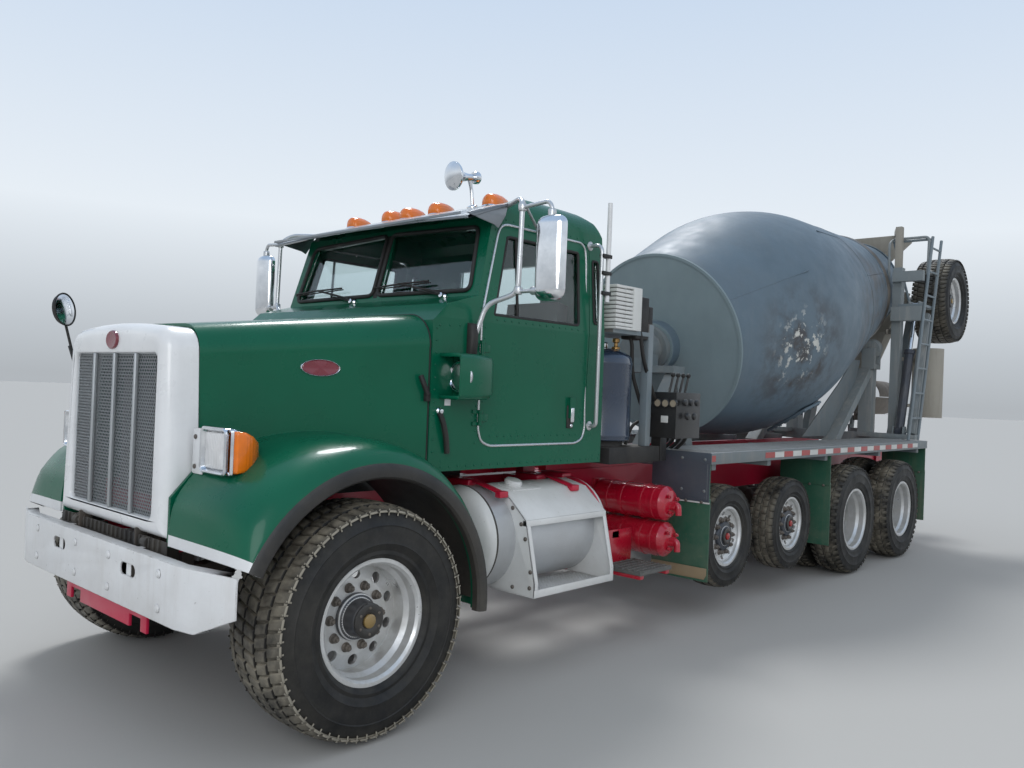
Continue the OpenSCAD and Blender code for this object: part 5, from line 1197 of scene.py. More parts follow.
button = turned([(0, 0.0), (0.011, 0.0), (0.012, 0.008), (0.009, 0.012), (0, 0.013)], (0.957, 1.724, 1.432),
    (1, 0, 0), 20)
both(joined(paddle, button), "door_handle", chrome, "bright_trim", body="door_left_body")
for z in (1.48, 1.87):
    leaf = box((0.95, 0.918, z - 0.02), (0.957, 0.972, z + 0.02), 0.002)
    both(leaf, "door_hinge_leaf_" + ("low" if z < 1.6 else "high"), green_paint, "cab_green",
        body="door_left_body")

# Grab rails behind the doors, bent from bright tube, with the white antenna rod clipped to each
rail = tube([(on_side(1.43, -0.004), 1.925, 1.43), (1.005, 1.925, 1.43), (1.005, 1.925, 2.6),
    (on_side(2.6, -0.01), 1.925, 2.6)], 0.0135, 0.06, sides=4)
feet = [turned([(0, 0.0), (0.03, 0.0), (0.03, 0.006), (0.02, 0.01), (0, 0.01)],
    (on_side(z, -0.002), 1.925, z), (1, 0, 0), 24) for z in (1.43, 2.6)]
rod = tube([(1.012, 1.985, 2.235), (1.012, 1.985, 2.88)], 0.0155, sides=4)
clips = [box((0.99, 1.915, z - 0.012), (1.03, 2.005, z + 0.012), 0.003) for z in (2.29, 2.42, 2.53)]
rail_steel = painted("rail_steel", (206, 208, 210), gloss=0.28, coat=0.3, dust=0.3, level=2.0, rubbed=0.2,
    metallic=0.7)
both(joined(rail, *feet), "grab_rail", rail_steel, "bright_trim")
both(rod, "antenna_rod", white_strip, "body_white")
both(joined(*clips), "antenna_clips", seal_rubber, "black_trim")

# Mirrors: a chromed shell lofted from D-shaped sections, on polished tube brackets bent from a black foot on
# the cowl up to the roof. The tubes are joined by small collars.
def mirror_section(z, half, deep, back, count=17):
    """A D seen from above: round towards the front, flat at the glass."""
    row = [spot(1.395 + half * cos(radians(a)), 0.95 - deep * sin(radians(a)), z)
        for a in [180 * step / (count - 1) for step in range(count)]]
    row += [spot(1.395 - half * 0.98, 0.95 + back, z), spot(1.395 + half * 0.98, 0.95 + back, z)]
    return row + row[:1]


foot_rows = [mirror_section(2.121, 0.002, 0.002, 0.001)]
head_rows = [mirror_section(2.579, 0.002, 0.002, 0.001)]
for share in (15, 30, 45, 60, 75, 90):
    a = radians(share)
    size = 0.0955 * sin(a) ** 0.55, 0.052 * sin(a), 0.019 * sin(a)
    foot_rows.append(mirror_section(2.121 + 0.06 * (1 - cos(a)), *size))
    head_rows.append(mirror_section(2.579 - 0.05 * (1 - cos(a)), *size))
shell = lofted(foot_rows + head_rows[::-1])
both(shell, "mirror_shell", chrome, "bright_trim", smooth=50)
face = box((1.311, 0.9685, 2.165), (1.479, 0.9725, 2.535), 0.004)
both(face, "mirror_glass", chrome, "bright_trim")
knob = turned([(0, 0.0), (0.018, 0.0), (0.018, 0.016), (0.012, 0.024), (0, 0.026)], (1.395, 0.945, 2.57),
    (0, 0, 1), 20)
bracket = tube([(0.972, 0.83, 1.93), (1.01, 0.87, 2.11), (1.19, 0.93, 2.17), (1.19, 0.94, 2.66),
    (1.12, 1.0, 2.712), (0.88, 1.12, 2.7)], 0.0145, 0.06, sides=4)
lower = tube([(1.19, 0.931, 2.18), (1.395, 0.95, 2.18)], 0.0115)
upper = tube([(1.19, 0.94, 2.64), (1.37, 0.948, 2.655), (1.395, 0.95, 2.625), (1.395, 0.95, 2.56)], 0.0115,
    0.05, sides=4)
brace = tube([(1.15, 0.985, 2.692), (0.905, 1.42, 2.6)], 0.009)
collars = [turned([(0.0, -0.02), (0.021, -0.02), (0.023, -0.014), (0.023, 0.014), (0.021, 0.02), (0, 0.02)],
    spot(*place), axis, 20) for place, axis in (((1.19, 0.932, 2.185), (0, 0.02, 1)),
    ((1.19, 0.94, 2.64), (0, 0, 1)), ((1.395, 0.95, 2.59), (0, 0, 1)), ((1.3, 0.941, 2.18), (1, 0.09, 0)))]
end_plate = box((0.868, 1.095, 2.68), (0.892, 1.15, 2.722), 0.004)
both(joined(bracket, lower, upper, brace, knob, end_plate, *collars), "mirror_bracket", rail_steel,
    "bright_trim", smooth=40)
foot_rows = [[spot(0.949 + out * reach, 0.79 + wide * 0.058, z)
    for out, wide in ((0, 0), (0.6, 0.02), (0.95, 0.2), (1, 0.5), (0.95, 0.8), (0.6, 0.98), (0, 1), (0, 0))]
    for z, reach in ((1.8, 0.002), (1.806, 0.026), (1.83, 0.04), (1.93, 0.046), (1.985, 0.042), (2.0, 0.03),
    (2.004, 0.002))]
both(lofted(foot_rows), "mirror_foot", seal_rubber, "black_trim", smooth=50)
for side in ("left", "right"):
    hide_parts("mirrors")

# Roof: a pressed metal sun visor over the windshield, five amber marker lamps on chromed bases, and a chromed
# horn with a domed front on a short stalk. All are screwed to the roof skin.
visor_grey = painted("visor_grey", (138, 144, 150), gloss=0.32, coat=0.4, dust=0.2, level=2.6, rubbed=0.2,
    metallic=0.55)
blade = []
for x in [-0.96, -0.957, -0.88, -0.5, 0.0, 0.5, 0.88, 0.957, 0.96]:
    droop = 0.018 * (abs(x) / 0.96) ** 2
    section = [(1.078, 2.716), (1.06, 2.7235), (0.985, 2.697), (0.86, 2.655), (0.74, 2.615), (0.724, 2.606),
        (0.724, 2.594), (0.738, 2.593), (0.86, 2.64), (0.985, 2.682), (1.065, 2.71), (1.078, 2.716)]
    blade.append([spot(x, s + droop * 1.6, z - droop * (1.08 - s) * 2.5) for s, z in section])
visor = lofted(blade)
ends = plate([(0.952, s, z) for s, z in ((0.74, 2.606), (0.985, 2.69), (1.075, 2.712), (1.055, 2.64),
    (1.0, 2.56), (0.965, 2.575))], Vector((0.006, 0, 0)), 0.002)
other_end = mirrored_twin(ends)
fold = box((-0.93, 0.7235, 2.596), (0.93, 0.727, 2.612), 0.0015)
fit(joined(visor, ends, other_end, fold), "sun_visor", visor_grey, "plate_grey", "roof_fittings", smooth=50)


def half_drop(length, half_width, tall, blunt):
    """A lamp's lens: a teardrop with its blunt end to the front, cut flat underneath."""
    outline = [(0.0, 0.0)] + [(half_width * sin(radians(a)) ** 0.8, blunt * (1 - cos(radians(a))))
        for a in (20, 40, 60, 80)]
    outline += [(half_width * w, blunt + (length - blunt) * l)
        for w, l in ((0.99, 0.12), (0.9, 0.35), (0.7, 0.6), (0.4, 0.84), (0.15, 0.97), (0.0, 1.0))]
    drop = turned(outline, along=(0, 1, 0), steps=32)
    only(drop)
    into_edit()
    bpy.ops.mesh.bisect(plane_co=(0, 0, 0), plane_no=(0, 0, -1), clear_outer=True, use_fill=True)
    out_of_edit()
    drop.data.transform(Matrix.Diagonal((1, 1, tall, 1)))
    return drop


roof_pitch = Matrix.Rotation(radians(18.7), 4, "X")
lamp_spots = [Matrix.Translation(spot(x, 1.095, 2.719) + set_back) @ roof_pitch
    for x, set_back in ((-0.235, Vector((0, 0.04, 0.0135))), (0.0, Vector()),
    (0.235, Vector((0, 0.04, 0.0135))))]
outer_pitch = Matrix.Rotation(radians(15.0), 4, "X")
lamp_spots += [Matrix.Translation(spot(x, 1.175, 2.746)) @ outer_pitch for x in (-0.68, 0.68)]
base = half_drop(0.25, 0.072, 0.5, 0.024)
base.data.transform(Matrix.Translation((0, -0.01, -0.014)))
fit(repeat(base, lamp_spots), "roof_lamp_bases", chrome, "bright_trim")
lens_drop = half_drop(0.205, 0.06, 1.22, 0.036)
lens_drop.data.transform(Matrix.Translation((0, 0, 0.004)))
fit(repeat(lens_drop, lamp_spots), "roof_lamp_lenses", amber, "bright_trim")
horn_at = spot(0.56, 1.005, 2.915)
bell = turned([(0.0, 0.165), (0.02, 0.16), (0.022, 0.105), (0.03, 0.07), (0.052, 0.036), (0.078, 0.018),
    (0.086, 0.006), (0.086, -0.004), (0.08, -0.006), (0.06, -0.016), (0.03, -0.023), (0.0, -0.025)], horn_at,
    (0.12, 1, 0.12), 40)
driver = turned([(0.0, 0.15), (0.034, 0.152), (0.038, 0.16), (0.038, 0.185), (0.03, 0.195), (0.0, 0.196)],
    horn_at, (0.12, 1, 0.12), 32)
stalk = tube([(0.57, 1.13, 2.915), (0.572, 1.15, 2.86), (0.575, 1.16, 2.75)], 0.012, 0.03)
pad = turned([(0, 0.0), (0.035, 0.0), (0.033, 0.008), (0.016, 0.014), (0, 0.014)], (0.575, 1.16, 2.752),
    (0, -0.32, 0.95), 24)
fit(joined(bell, driver, stalk, pad), "roof_horn", chrome, "bright_trim", smooth=50)

# Fuel tanks: brushed aluminium barrels with domed white ends, hung in red straps. A white step box with a
# bolted slanted plate at each end clasps each barrel; its treads are perforated aluminium.
brushed = painted("brushed_aluminium", (214, 217, 220), gloss=0.4, coat=0.1, dust=0.35, level=1.15,
    rubbed=0.2, metallic=0.55, grain=0.6)
step_white = painted("step_box_white", (226, 228, 228), gloss=0.42, coat=0.3, dust=0.5, level=0.95,
    rubbed=0.3, chips=0.3, under=(112, 96, 84))
tank_skin = [(0.0, 0.0)] + [(0.3 * sin(radians(a)) ** 0.7, 0.078 * (1 - cos(radians(a))))
    for a in (12, 24, 38, 52, 66, 80, 90)]
tank_end = [(radius, 1.181 - along) for radius, along in reversed(tank_skin)]
tank_seams = [(0.302, 0.082), (0.304, 0.088), (0.302, 0.094), (0.299, 0.1), (0.299, 1.081), (0.302, 1.087),
    (0.304, 1.093), (0.302, 1.099)]
barrel = turned(tank_skin + tank_seams + tank_end, (0.75, 0.907, 0.775), (0, 1, 0), 72)
fit(barrel, "fuel_tank_left", brushed, "alloy_wheel", "fuel_tanks", smooth=40)
recolour(barrel, step_white, lambda middle, normal: middle.y < steer_y + 1.0 or middle.y > steer_y + 1.995)
recolour(barrel, black_panel, lambda middle, normal: 0.992 < middle.y - steer_y < 1.006)
second = mirrored_twin(barrel)
fit(second, "fuel_tank_right", None, "alloy_wheel", smooth=40)
round_tank = [(0.75 + 0.298 * cos(radians(a)), 0.775 + 0.298 * sin(radians(a))) for a in range(-72, 82, 14)]
end_line = [(0.842, 0.482), (1.203, 0.482), (1.203, 0.562), (1.124, 0.905), (0.96, 1.045),
    (0.795, 1.082)] + list(reversed(round_tank))
front_edge = [(1.203, 0.482), (1.203, 0.562), (1.124, 0.905), (1.119, 0.903), (1.198, 0.561), (1.198, 0.482)]
plates = []
for s, reach in ((1.146, 0.034), (1.896, -0.028)):
    plates += [plate([(x, s, z) for x, z in end_line], Vector((0, 0.006, 0)), 0.001),
        plate([(x, s, z) for x, z in front_edge], Vector((0, reach, 0)), 0.001)]
plates.append(plate([(x, 1.146, z) for x, z in ((1.124, 0.905), (0.96, 1.045), (0.795, 1.082), (0.795, 1.077),
    (0.957, 1.04), (1.12, 0.899))], Vector((0, 0.756, 0)), 0.0015))
plates.append(box((1.098, 1.146, 0.868), (1.131, 1.902, 0.905), 0.004))
bottom = box((0.872, 1.146, 0.476), (1.203, 1.902, 0.4815), 0.001)
sill = box((1.196, 1.146, 0.478), (1.204, 1.902, 0.52), 0.002)
both(joined(*plates, bottom, sill), "step_box", step_white, "body_white")
plate_bolts = [spot(x, 1.141, z) for x, z in ((1.17, 0.53), (1.172, 0.62), (1.125, 0.8), (1.09, 0.88),
    (1.02, 0.965), (0.925, 1.03), (1.04, 0.515))]


def bolt_head():
    """A domed bolt head that looks forward."""
    return turned([(0, -0.006), (0.007, -0.005), (0.011, -0.002), (0.012, 0.0), (0.012, 0.006), (0, 0.006)],
        along=(0, 1, 0), steps=14)


both(repeat(bolt_head(), plate_bolts), "step_box_bolts", nut_steel, "dark_iron")

button = turned([(0, 0.0), (0.0075, 0.0), (0.006, 0.0022), (0, 0.0026)], along=(0, 0, 1), steps=8)
studs = repeat(button, [spot(0.9 + 0.026 * across, 1.18 + 0.026 * along, 0.4812) for across in range(12)
    for along in range(27)])
both(studs, "step_studs", brushed, "deck_alloy", smooth=60)
straps = [turned([(0.3005, -0.03), (0.3065, -0.03), (0.3065, 0.03), (0.3005, 0.03)], (0.75, 1.96, 0.775),
    (0, 1, 0), 64)]
straps += [box((0.56, s - 0.045, 1.04), (0.76, s + 0.045, 1.105), 0.01, 3) for s in (1.08, 1.7, 1.96)]
for s in (1.09, 1.75):
    over = box((0.76, s - 0.028, 1.068), (0.985, s + 0.028, 1.079), 0.003)
    over.data.transform(turn_about(spot(0.87, s, 1.066), 0.22, "Y"))
    straps += [over, box((0.958, s - 0.036, 1.022), (1.0, s + 0.036, 1.06), 0.006)]
straps += [box((0.44, s - 0.03, 0.98), (0.6, s + 0.03, 1.085), 0.006) for s in (1.08, 1.7, 1.96)]
both(joined(*straps), "tank_straps", frame_paint, "frame_red")
cap = turned([(0, 0.0), (0.052, 0.0), (0.055, 0.005), (0.055, 0.026), (0.046, 0.036), (0, 0.038)],
    (0.86, 1.31, 1.07), (0.28, 0, 1), 32)
patch = box((0.82, 1.22, 1.062), (0.95, 1.48, 1.069), 0.003)
patch.data.transform(turn_about(spot(0.88, 1.3, 1.066), 0.22, "Y"))
both(joined(cap, patch), "tank_cap", step_white, "body_white")

# Air tanks: red welded steel cylinders lying across the frame, banded, with drain plugs and a pipe port to
# the side. Steel straps and saddle brackets hold them under the rails; a rough steel step hangs beside them.
air_red = painted("air_tank_red", (186, 10, 44), gloss=0.26, coat=0.8, dust=0.08, level=0.8, rubbed=0.2,
    chips=0.25, under=(96, 60, 52))
air_tanks = dressed("air_tanks", 0.004, 3)
fit(air_tanks, "air_tank_shells", air_red, "frame_red", "air_tanks", smooth=40)
weld_ring = turned([(0.1205, -0.012), (0.125, -0.01), (0.1262, 0.0), (0.125, 0.01), (0.1205, 0.012)],
    steps=48)
weld_places = [spot(x, 2.74, z) for z in (0.88, 0.625) for x in (0.6, 0.985)]
both(repeat(weld_ring, weld_places), "air_tank_seams", air_red, "frame_red", smooth=50)
bands = [turned([(0.1225, -0.018), (0.1275, -0.016), (0.1275, 0.016), (0.1225, 0.018)], (x, 2.74, z),
    (1, 0, 0), 48) for z in (0.88, 0.625) for x in (0.72, 0.89)]
both(joined(*bands), "air_tank_bands", air_red, "frame_red", smooth=50)
plug = turned([(0, 0.0), (0.015, 0.0), (0.015, 0.012), (0.008, 0.014), (0.008, 0.022), (0, 0.022)], steps=12)
plug_places = [spot(1.094, s, z + lift) for z in (0.88, 0.625)
    for s, lift in ((2.69, 0.055), (2.8, 0.03), (2.71, -0.06))]
elbow = [tube([(1.085, 2.74, z), (1.145, 2.74, z), (1.15, 2.738, z - 0.075)], 0.022, 0.035, sides=4)
    for z in (0.88, 0.625)]
both(joined(repeat(plug, plug_places), *elbow), "air_tank_ports", air_red, "frame_red", smooth=50)
tread = box((0.86, 2.23, 0.452), (1.19, 2.61, 0.472), 0.003)
nosing = [box((x, 2.23, 0.472), (x + 0.01, 2.61, 0.481), 0.002)
    for x in (0.88, 0.93, 0.98, 1.03, 1.08, 1.13, 1.175)]
nosing += [box((0.865, s, 0.47), (1.185, s + 0.008, 0.479), 0.002)
    for s in (2.26, 2.33, 2.4, 2.47, 2.54, 2.595)]
tread_grey = painted("tread_grey", (92, 94, 93), gloss=0.6, coat=0.0, dust=0.35, level=0.8, rubbed=0.7,
    under=(150, 150, 147), grain=0.6)
both(joined(tread, *nosing), "tread_step", tread_grey, "deck_alloy")
hanger = box((0.845, 2.24, 0.425), (1.18, 2.285, 0.4515), 0.003)
hanger_back = box((0.845, 2.55, 0.425), (1.18, 2.595, 0.4515), 0.003)
upright = box((0.845, 2.24, 0.425), (0.86, 2.595, 0.7), 0.003)
upright_foot = box((0.47, 2.36, 0.64), (0.86, 2.44, 0.69), 0.003)
both(joined(hanger, hanger_back, upright, upright_foot), "tread_step_bracket", air_red, "frame_red")

# Behind the cab: a dark blue water tank with a domed top, an oil cooler with white fins in an aluminium frame
# and a black control box with gauges, levers and hoses. All three are bolted to plates on the frame.
blue_paint = painted("tank_blue", (40, 56, 78), gloss=0.24, coat=0.7, dust=0.06, level=1.6, rubbed=0.25,
    chips=0.15, under=(120, 120, 118))
vessel = turned([(0, 0.0), (0.2, 0.0), (0.205, 0.006), (0.205, 0.02), (0.2075, 0.026), (0.2075, 0.04),
    (0.205, 0.046), (0.205, 0.52), (0.2072, 0.526), (0.2072, 0.54), (0.205, 0.546), (0.203, 0.562)]
    + [(0.203 * cos(radians(a)), 0.562 + 0.084 * sin(radians(a))) for a in (12, 24, 36, 50, 64, 78, 90)],
    along=(0, 0, 1), steps=72)
vessel.data.transform(Matrix.Translation(spot(0.7, 2.35, 1.32)) @ Matrix.Diagonal((1.12, 1.12, 1.0, 1)))
fit(vessel, "water_vessel", blue_paint, "water_blue", smooth=40)
tank_base = dressed("water_tank", 0.003, 2)
only(tank_base)
into_edit()
bpy.ops.mesh.bisect(plane_co=(0, 0, 1.3195), plane_no=(0, 0, 1), clear_outer=True, use_fill=True)
out_of_edit()
fit(tank_base, "water_tank_shelf", black_panel, "frame_red", "water_tank")
handle = tube([(0.802, 2.15, 1.82), (0.822, 2.112, 1.82), (0.838, 2.118, 1.66), (0.838, 2.128, 1.52),
    (0.815, 2.16, 1.52)], 0.009, 0.02)
filler = turned([(0, 0.0), (0.055, 0.0), (0.058, 0.006), (0.058, 0.03), (0.05, 0.04), (0, 0.044)],
    (0.7, 2.35, 1.9635), (0, 0, 1), 32)
fit(joined(handle, filler), "water_tank_handle", chrome, "bright_trim")
saddle = box((0.62, 2.142, 1.3), (0.78, 2.165, 1.34), 0.003)
fit(saddle, "water_tank_saddle", blue_paint, "water_blue")

fin_white = painted("fin_white", (222, 224, 222), gloss=0.45, coat=0.1, dust=0.35, level=3.0, rubbed=0.2)
cooler = dressed("oil_cooler", 0.003, 2)
fit(cooler, "oil_cooler_core", cab_trim, "dark_iron", "oil_cooler")
post_grey = painted("post_grey", (122, 136, 144), gloss=0.5, coat=0.05, dust=0.4, level=3.0, rubbed=0.4,
    stain=0.4, stained=(150, 146, 138))
recolour(cooler, post_grey, lambda middle, normal: middle.z < 2.09)
fin = box((0.56, 2.154, 2.102), (0.966, 2.264, 2.124), 0.002)
side_fin = box((0.928, 2.262, 2.102), (0.968, 2.35, 2.124), 0.002)
fins = joined(fin, side_fin)
fit(repeat(fins, [Vector((0, 0, step * 0.0285)) for step in range(9)]), "oil_cooler_fins", fin_white,
    "body_white")
frame_bars = [box((low_x, 2.152, low_z), (high_x, 2.268, high_z), 0.003)
    for low_x, high_x, low_z, high_z in ((0.556, 0.97, 2.082, 2.098), (0.556, 0.97, 2.358, 2.378))]
frame_bars += [box((0.925, 2.268, z), (0.97, 2.448, z + 0.016), 0.003) for z in (2.082, 2.362)]
frame_bars.append(box((0.93, 2.35, 2.082), (0.972, 2.452, 2.378), 0.003))
fit(joined(*frame_bars), "oil_cooler_frame", fin_white, "alloy_wheel")
reservoir = joined(box((0.8, 2.452, 2.03), (0.935, 2.6, 2.33), 0.01, 3),
    box((0.87, 2.6, 2.05), (0.935, 2.65, 2.27), 0.008, 3))
fit(reservoir, "oil_reservoir", black_panel, "dark_iron")
brass = painted("old_brass", (176, 138, 84), gloss=0.4, coat=0.0, dust=0.3, level=3.0, rubbed=0.4,
    metallic=0.7, under=(206, 180, 130))
valve = turned([(0, 0), (0.03, 0), (0.03, 0.016), (0.014, 0.02), (0.014, 0.045), (0.026, 0.05),
    (0.026, 0.075), (0.01, 0.08), (0, 0.08)], (0.8, 2.4, 1.955), (0, 0, 1), 20)
fit(valve, "relief_valve", brass, "bright_trim")
guard_rings = [turned([(r, -0.002), (r + 0.003, 0.0), (r, 0.002), (r - 0.003, 0.0)], (0.765, 2.425, 2.215),
    (0, 1, 0), 36) for r in (0.04, 0.07, 0.1, 0.125)]
hub = turned([(0, -0.01), (0.03, -0.01), (0.034, 0.0), (0.02, 0.012), (0, 0.014)], (0.765, 2.424, 2.215),
    (0, 1, 0), 24)
fit(joined(hub, *guard_rings), "oil_cooler_fan_guard", cab_trim, "dark_iron")

control = dressed("control_box", 0.006, 3)
black_enamel = painted("black_enamel", (30, 31, 33), gloss=0.38, coat=0.3, dust=0.1, level=2.6, rubbed=0.3,
    chips=0.2, under=(120, 118, 112))
fit(control, "control_cabinet", black_enamel, "dark_iron", "control_box")
gauge = turned([(0, 0.0), (0.03, 0.0), (0.032, 0.004), (0.032, 0.016), (0.028, 0.02), (0.026, 0.014),
    (0, 0.013)], along=(0, -1, 0), steps=28)
dial_places = [spot(x, 2.7705, 1.59) for x in (0.93, 0.995, 1.06)]
label_plate = box((0.955, 2.768, 1.45), (1.015, 2.7725, 1.5), 0.001)
fit(repeat(gauge, dial_places), "control_gauges", black_enamel, "bright_trim")
fit(label_plate, "control_blank_plate", fin_white, "body_white")
dial_cream = painted("dial_cream", (168, 156, 136), gloss=0.4, coat=0.2, dust=0.4, level=3.0, rubbed=0.2)
dial = turned([(0, 0.0), (0.0255, 0.0), (0.0255, 0.0015), (0, 0.0015)], along=(0, -1, 0), steps=24)
fit(repeat(dial, [place + Vector((0, -0.0132, 0)) for place in dial_places]), "control_dials", dial_cream,
    "body_white")
side_knob = turned([(0, 0.0), (0.024, 0.0), (0.026, 0.005), (0.022, 0.018), (0.01, 0.022), (0, 0.022)],
    steps=20)
knob_places = [spot(1.1095, s, z) for s, z in ((2.83, 1.6), (2.91, 1.6), (2.99, 1.6), (2.87, 1.5),
    (2.96, 1.5))]
fit(repeat(side_knob, knob_places), "control_knobs", black_enamel, "alloy_wheel")
ball = turned([(0, -0.018), (0.01, -0.015), (0.017, -0.006), (0.018, 0.003), (0.012, 0.013), (0, 0.018)],
    along=(0, 0, 1), steps=16)
ball_places = [spot(1.0 + 0.12 * sin(radians(12)), 2.8 + lever * 0.07, 1.67 + 0.128 * cos(radians(12)))
    for lever in range(4)]
fit(repeat(ball, ball_places), "control_lever_knobs", seal_rubber, "bright_trim")
hoses = [tube([(x, 3.06, 1.4), (x, 3.13, 1.38), (x - 0.05, 3.16, 1.3), (x - 0.16, 3.15, 1.205),
    (x - 0.34, 3.14, 1.2)], 0.013, 0.06) for x in (0.82, 0.87, 0.92, 0.97)]
hoses += [tube([(0.9, 2.42, 2.15), (0.93, 2.5, 2.1), (0.93, 2.55, 1.9), (0.92, 2.72, 1.64),
    (0.9, 2.785, 1.6)], 0.014, 0.08),
    tube([(0.86, 2.42, 2.12), (0.88, 2.48, 2.02), (0.86, 2.52, 1.8), (0.86, 2.66, 1.55), (0.86, 2.785, 1.48)],
    0.014, 0.08), tube([(0.8, 2.56, 1.285), (0.82, 2.6, 1.42), (0.84, 2.68, 1.46), (0.83, 2.785, 1.42)],
    0.012, 0.05)]
fit(joined(*hoses), "control_hoses", seal_rubber, "dark_iron", smooth=50)

# Side decks: aluminium tread sheet on blue-grey steel channels with a reflective red and white tape along the
# rail. Mudflaps hang below in steel bars: green in front, worn to a rusty beige at the bottom.
plate_grey = painted("plate_grey_paint", (112, 124, 130), gloss=0.5, coat=0.05, dust=0.5, level=2.2,
    rubbed=0.5, chips=0.35, under=(150, 150, 146), stain=0.45, stained=(158, 152, 142))
flap_green = painted("flap_green", (22, 92, 70), gloss=0.55, coat=0.1, dust=0.55, level=0.95, rubbed=0.4,
    chips=0.25, under=(150, 128, 96), stain=0.3, stained=(150, 134, 104))
deck = dressed("side_decks", 0.003, 2)
fit(deck, "deck_channels", plate_grey, "deck_alloy", "side_decks")
recolour(deck, flap_green, lambda middle, normal: middle.z < 0.895
    or (middle.z < 1.16 and middle.y > steer_y + 3.2 and abs(normal.y) > 0.7))
deck_alloy = painted("deck_tread_alloy", (190, 194, 196), gloss=0.6, coat=0.0, dust=0.3, level=3.0,
    rubbed=0.3, metallic=0.35)
recolour(deck, deck_alloy, lambda middle, normal: middle.z > 1.2385 and normal.z > 0.5)
# The deck's front panel gets a darker blue-grey: its own dark paint, darkened further as painted shade under
# the deck
shaded_blue = painted("front_panel_blue", (66, 78, 92), gloss=0.5, coat=0.1, dust=0.3, level=1.4, rubbed=0.4,
    chips=0.2, under=(150, 150, 146))
recolour(deck, shaded_blue, lambda middle, normal: middle.z > 0.895 and normal.y < -0.7
    and middle.y < steer_y + 3.1)
tape_red = painted("tape_red", (176, 28, 34), gloss=0.3, coat=0.3, dust=0.45, level=2.4, rubbed=0.6,
    chips=0.3, under=(150, 150, 148))
tape_white = painted("tape_white", (220, 222, 220), gloss=0.3, coat=0.3, dust=0.5, level=2.4, rubbed=0.6,
    chips=0.3, under=(120, 124, 126))
corner_patch = box((1.2218, 3.05, 1.176), (1.2232, 3.105, 1.222), 0.0)
both(corner_patch, "deck_corner_patch", tape_red, "deck_alloy")
strip = box((1.2218, 3.9, 1.176), (1.2232, 4.068, 1.222), 0.0)
white_strip_part = box((1.2218, 4.07, 1.176), (1.2232, 4.238, 1.222), 0.0)
both(repeat(strip, [Vector((0, 0.34 * step, 0)) for step in range(11)]), "deck_tape_red", tape_red,
    "deck_alloy")
both(repeat(white_strip_part, [Vector((0, 0.34 * step, 0)) for step in range(11)]), "deck_tape_white",
    tape_white, "deck_alloy")
tread_bar = box((0.66, 3.06, 1.24), (1.205, 3.066, 1.2435), 0.0)
both(repeat(tread_bar, [Vector((0, 0.055 * step, 0)) for step in range(89)]), "deck_treads", deck_alloy,
    "deck_alloy")
flap_lower = plate([(x, 3.056, z) for x, z in ((0.745, 0.33), (0.735, 0.36), (0.735, 0.4), (1.207, 0.4),
    (1.207, 0.35), (1.188, 0.318), (0.77, 0.315))], Vector((0, -0.004, 0)), 0.001)
flap_worn = painted("flap_worn", (150, 132, 102), gloss=0.7, coat=0.0, dust=0.6, level=0.9, rubbed=0.6,
    chips=0.5, under=(92, 70, 52))
both(flap_lower, "mudflap_foot", flap_worn, "black_trim")
flap_strip = box((0.73, 3.05, 0.868), (1.212, 3.058, 0.89), 0.002)
both(flap_strip, "mudflap_strip", step_white, "body_white")
flap_bolt_places = [spot(x, s, 0.878) for s in (3.046, 5.236, 7.946) for x in (0.78, 0.9, 1.02, 1.15)]
both(repeat(bolt_head(), flap_bolt_places), "mudflap_bolts", nut_steel, "dark_iron")
front_bolts = [spot(x, 3.044, z) for x in (0.76, 0.98, 1.17) for z in (0.96, 1.19)]
both(repeat(bolt_head(), front_bolts), "deck_front_bolts", plate_grey, "deck_alloy")

# Drum: rolled steel cones and a barrel welded together, in worn blue-grey paint with dark and bare patches.
# Its shell, head ring, track and welds are turned about the tilted axis; the seams stand up as low beads.
drum_paint = painted("drum_paint", (96, 116, 130), gloss=0.52, coat=0.0, dust=0.15, level=3.4, rubbed=0.25,
    chips=0.2, under=(160, 164, 164), stain=0.22, stained=(120, 128, 132), grain=0.3)


def worn_spot(material, at, reach, colour, low, high, size):
    """Bare or flaked paint round one place: blotches that fade out with distance from it."""
    tree = material.node_tree
    base = tree.nodes["Principled BSDF"].inputs["Base Color"]
    coords = add(tree, "TexCoord").outputs["Object"]
    away = add(tree, "VectorMath", (0, coords), (1, at), operation="DISTANCE").outputs["Value"]
    near = add(tree, "MapRange", (0, away), (1, reach), (2, reach * 0.4), (3, 0.0), (4, 1.0)).outputs[0]
    mask = times(tree, near, blotches(tree, coords, size, low, high, 6.0, 0.7))
    tree.links.new(blend_colour(tree, mask, base.links[0].from_socket, tone(*colour)), base)


worn_spot(drum_paint, spot(1.0, 5.05, 2.05), 0.75, (74, 74, 76), 0.45, 0.6, 3.0)
worn_spot(drum_paint, spot(1.02, 5.0, 2.12), 0.42, (206, 206, 200), 0.56, 0.6, 9.0)
worn_spot(drum_paint, spot(0.75, 7.3, 2.5), 1.3, (92, 84, 78), 0.42, 0.66, 2.2)
drum_tilt = radians(13)
drum_place = Matrix.Translation(spot(0, 4.18, 2.105)) @ Matrix.Rotation(drum_tilt, 4, "X")


def soft_turns(points, radius, steps=5):
    """A line of (radius, distance) with its inner corners rounded, for parts pressed or rolled from plate."""
    line = bent([(r, l, 0) for r, l in points], radius, steps)
    return [(point.x, point.y) for point in line]


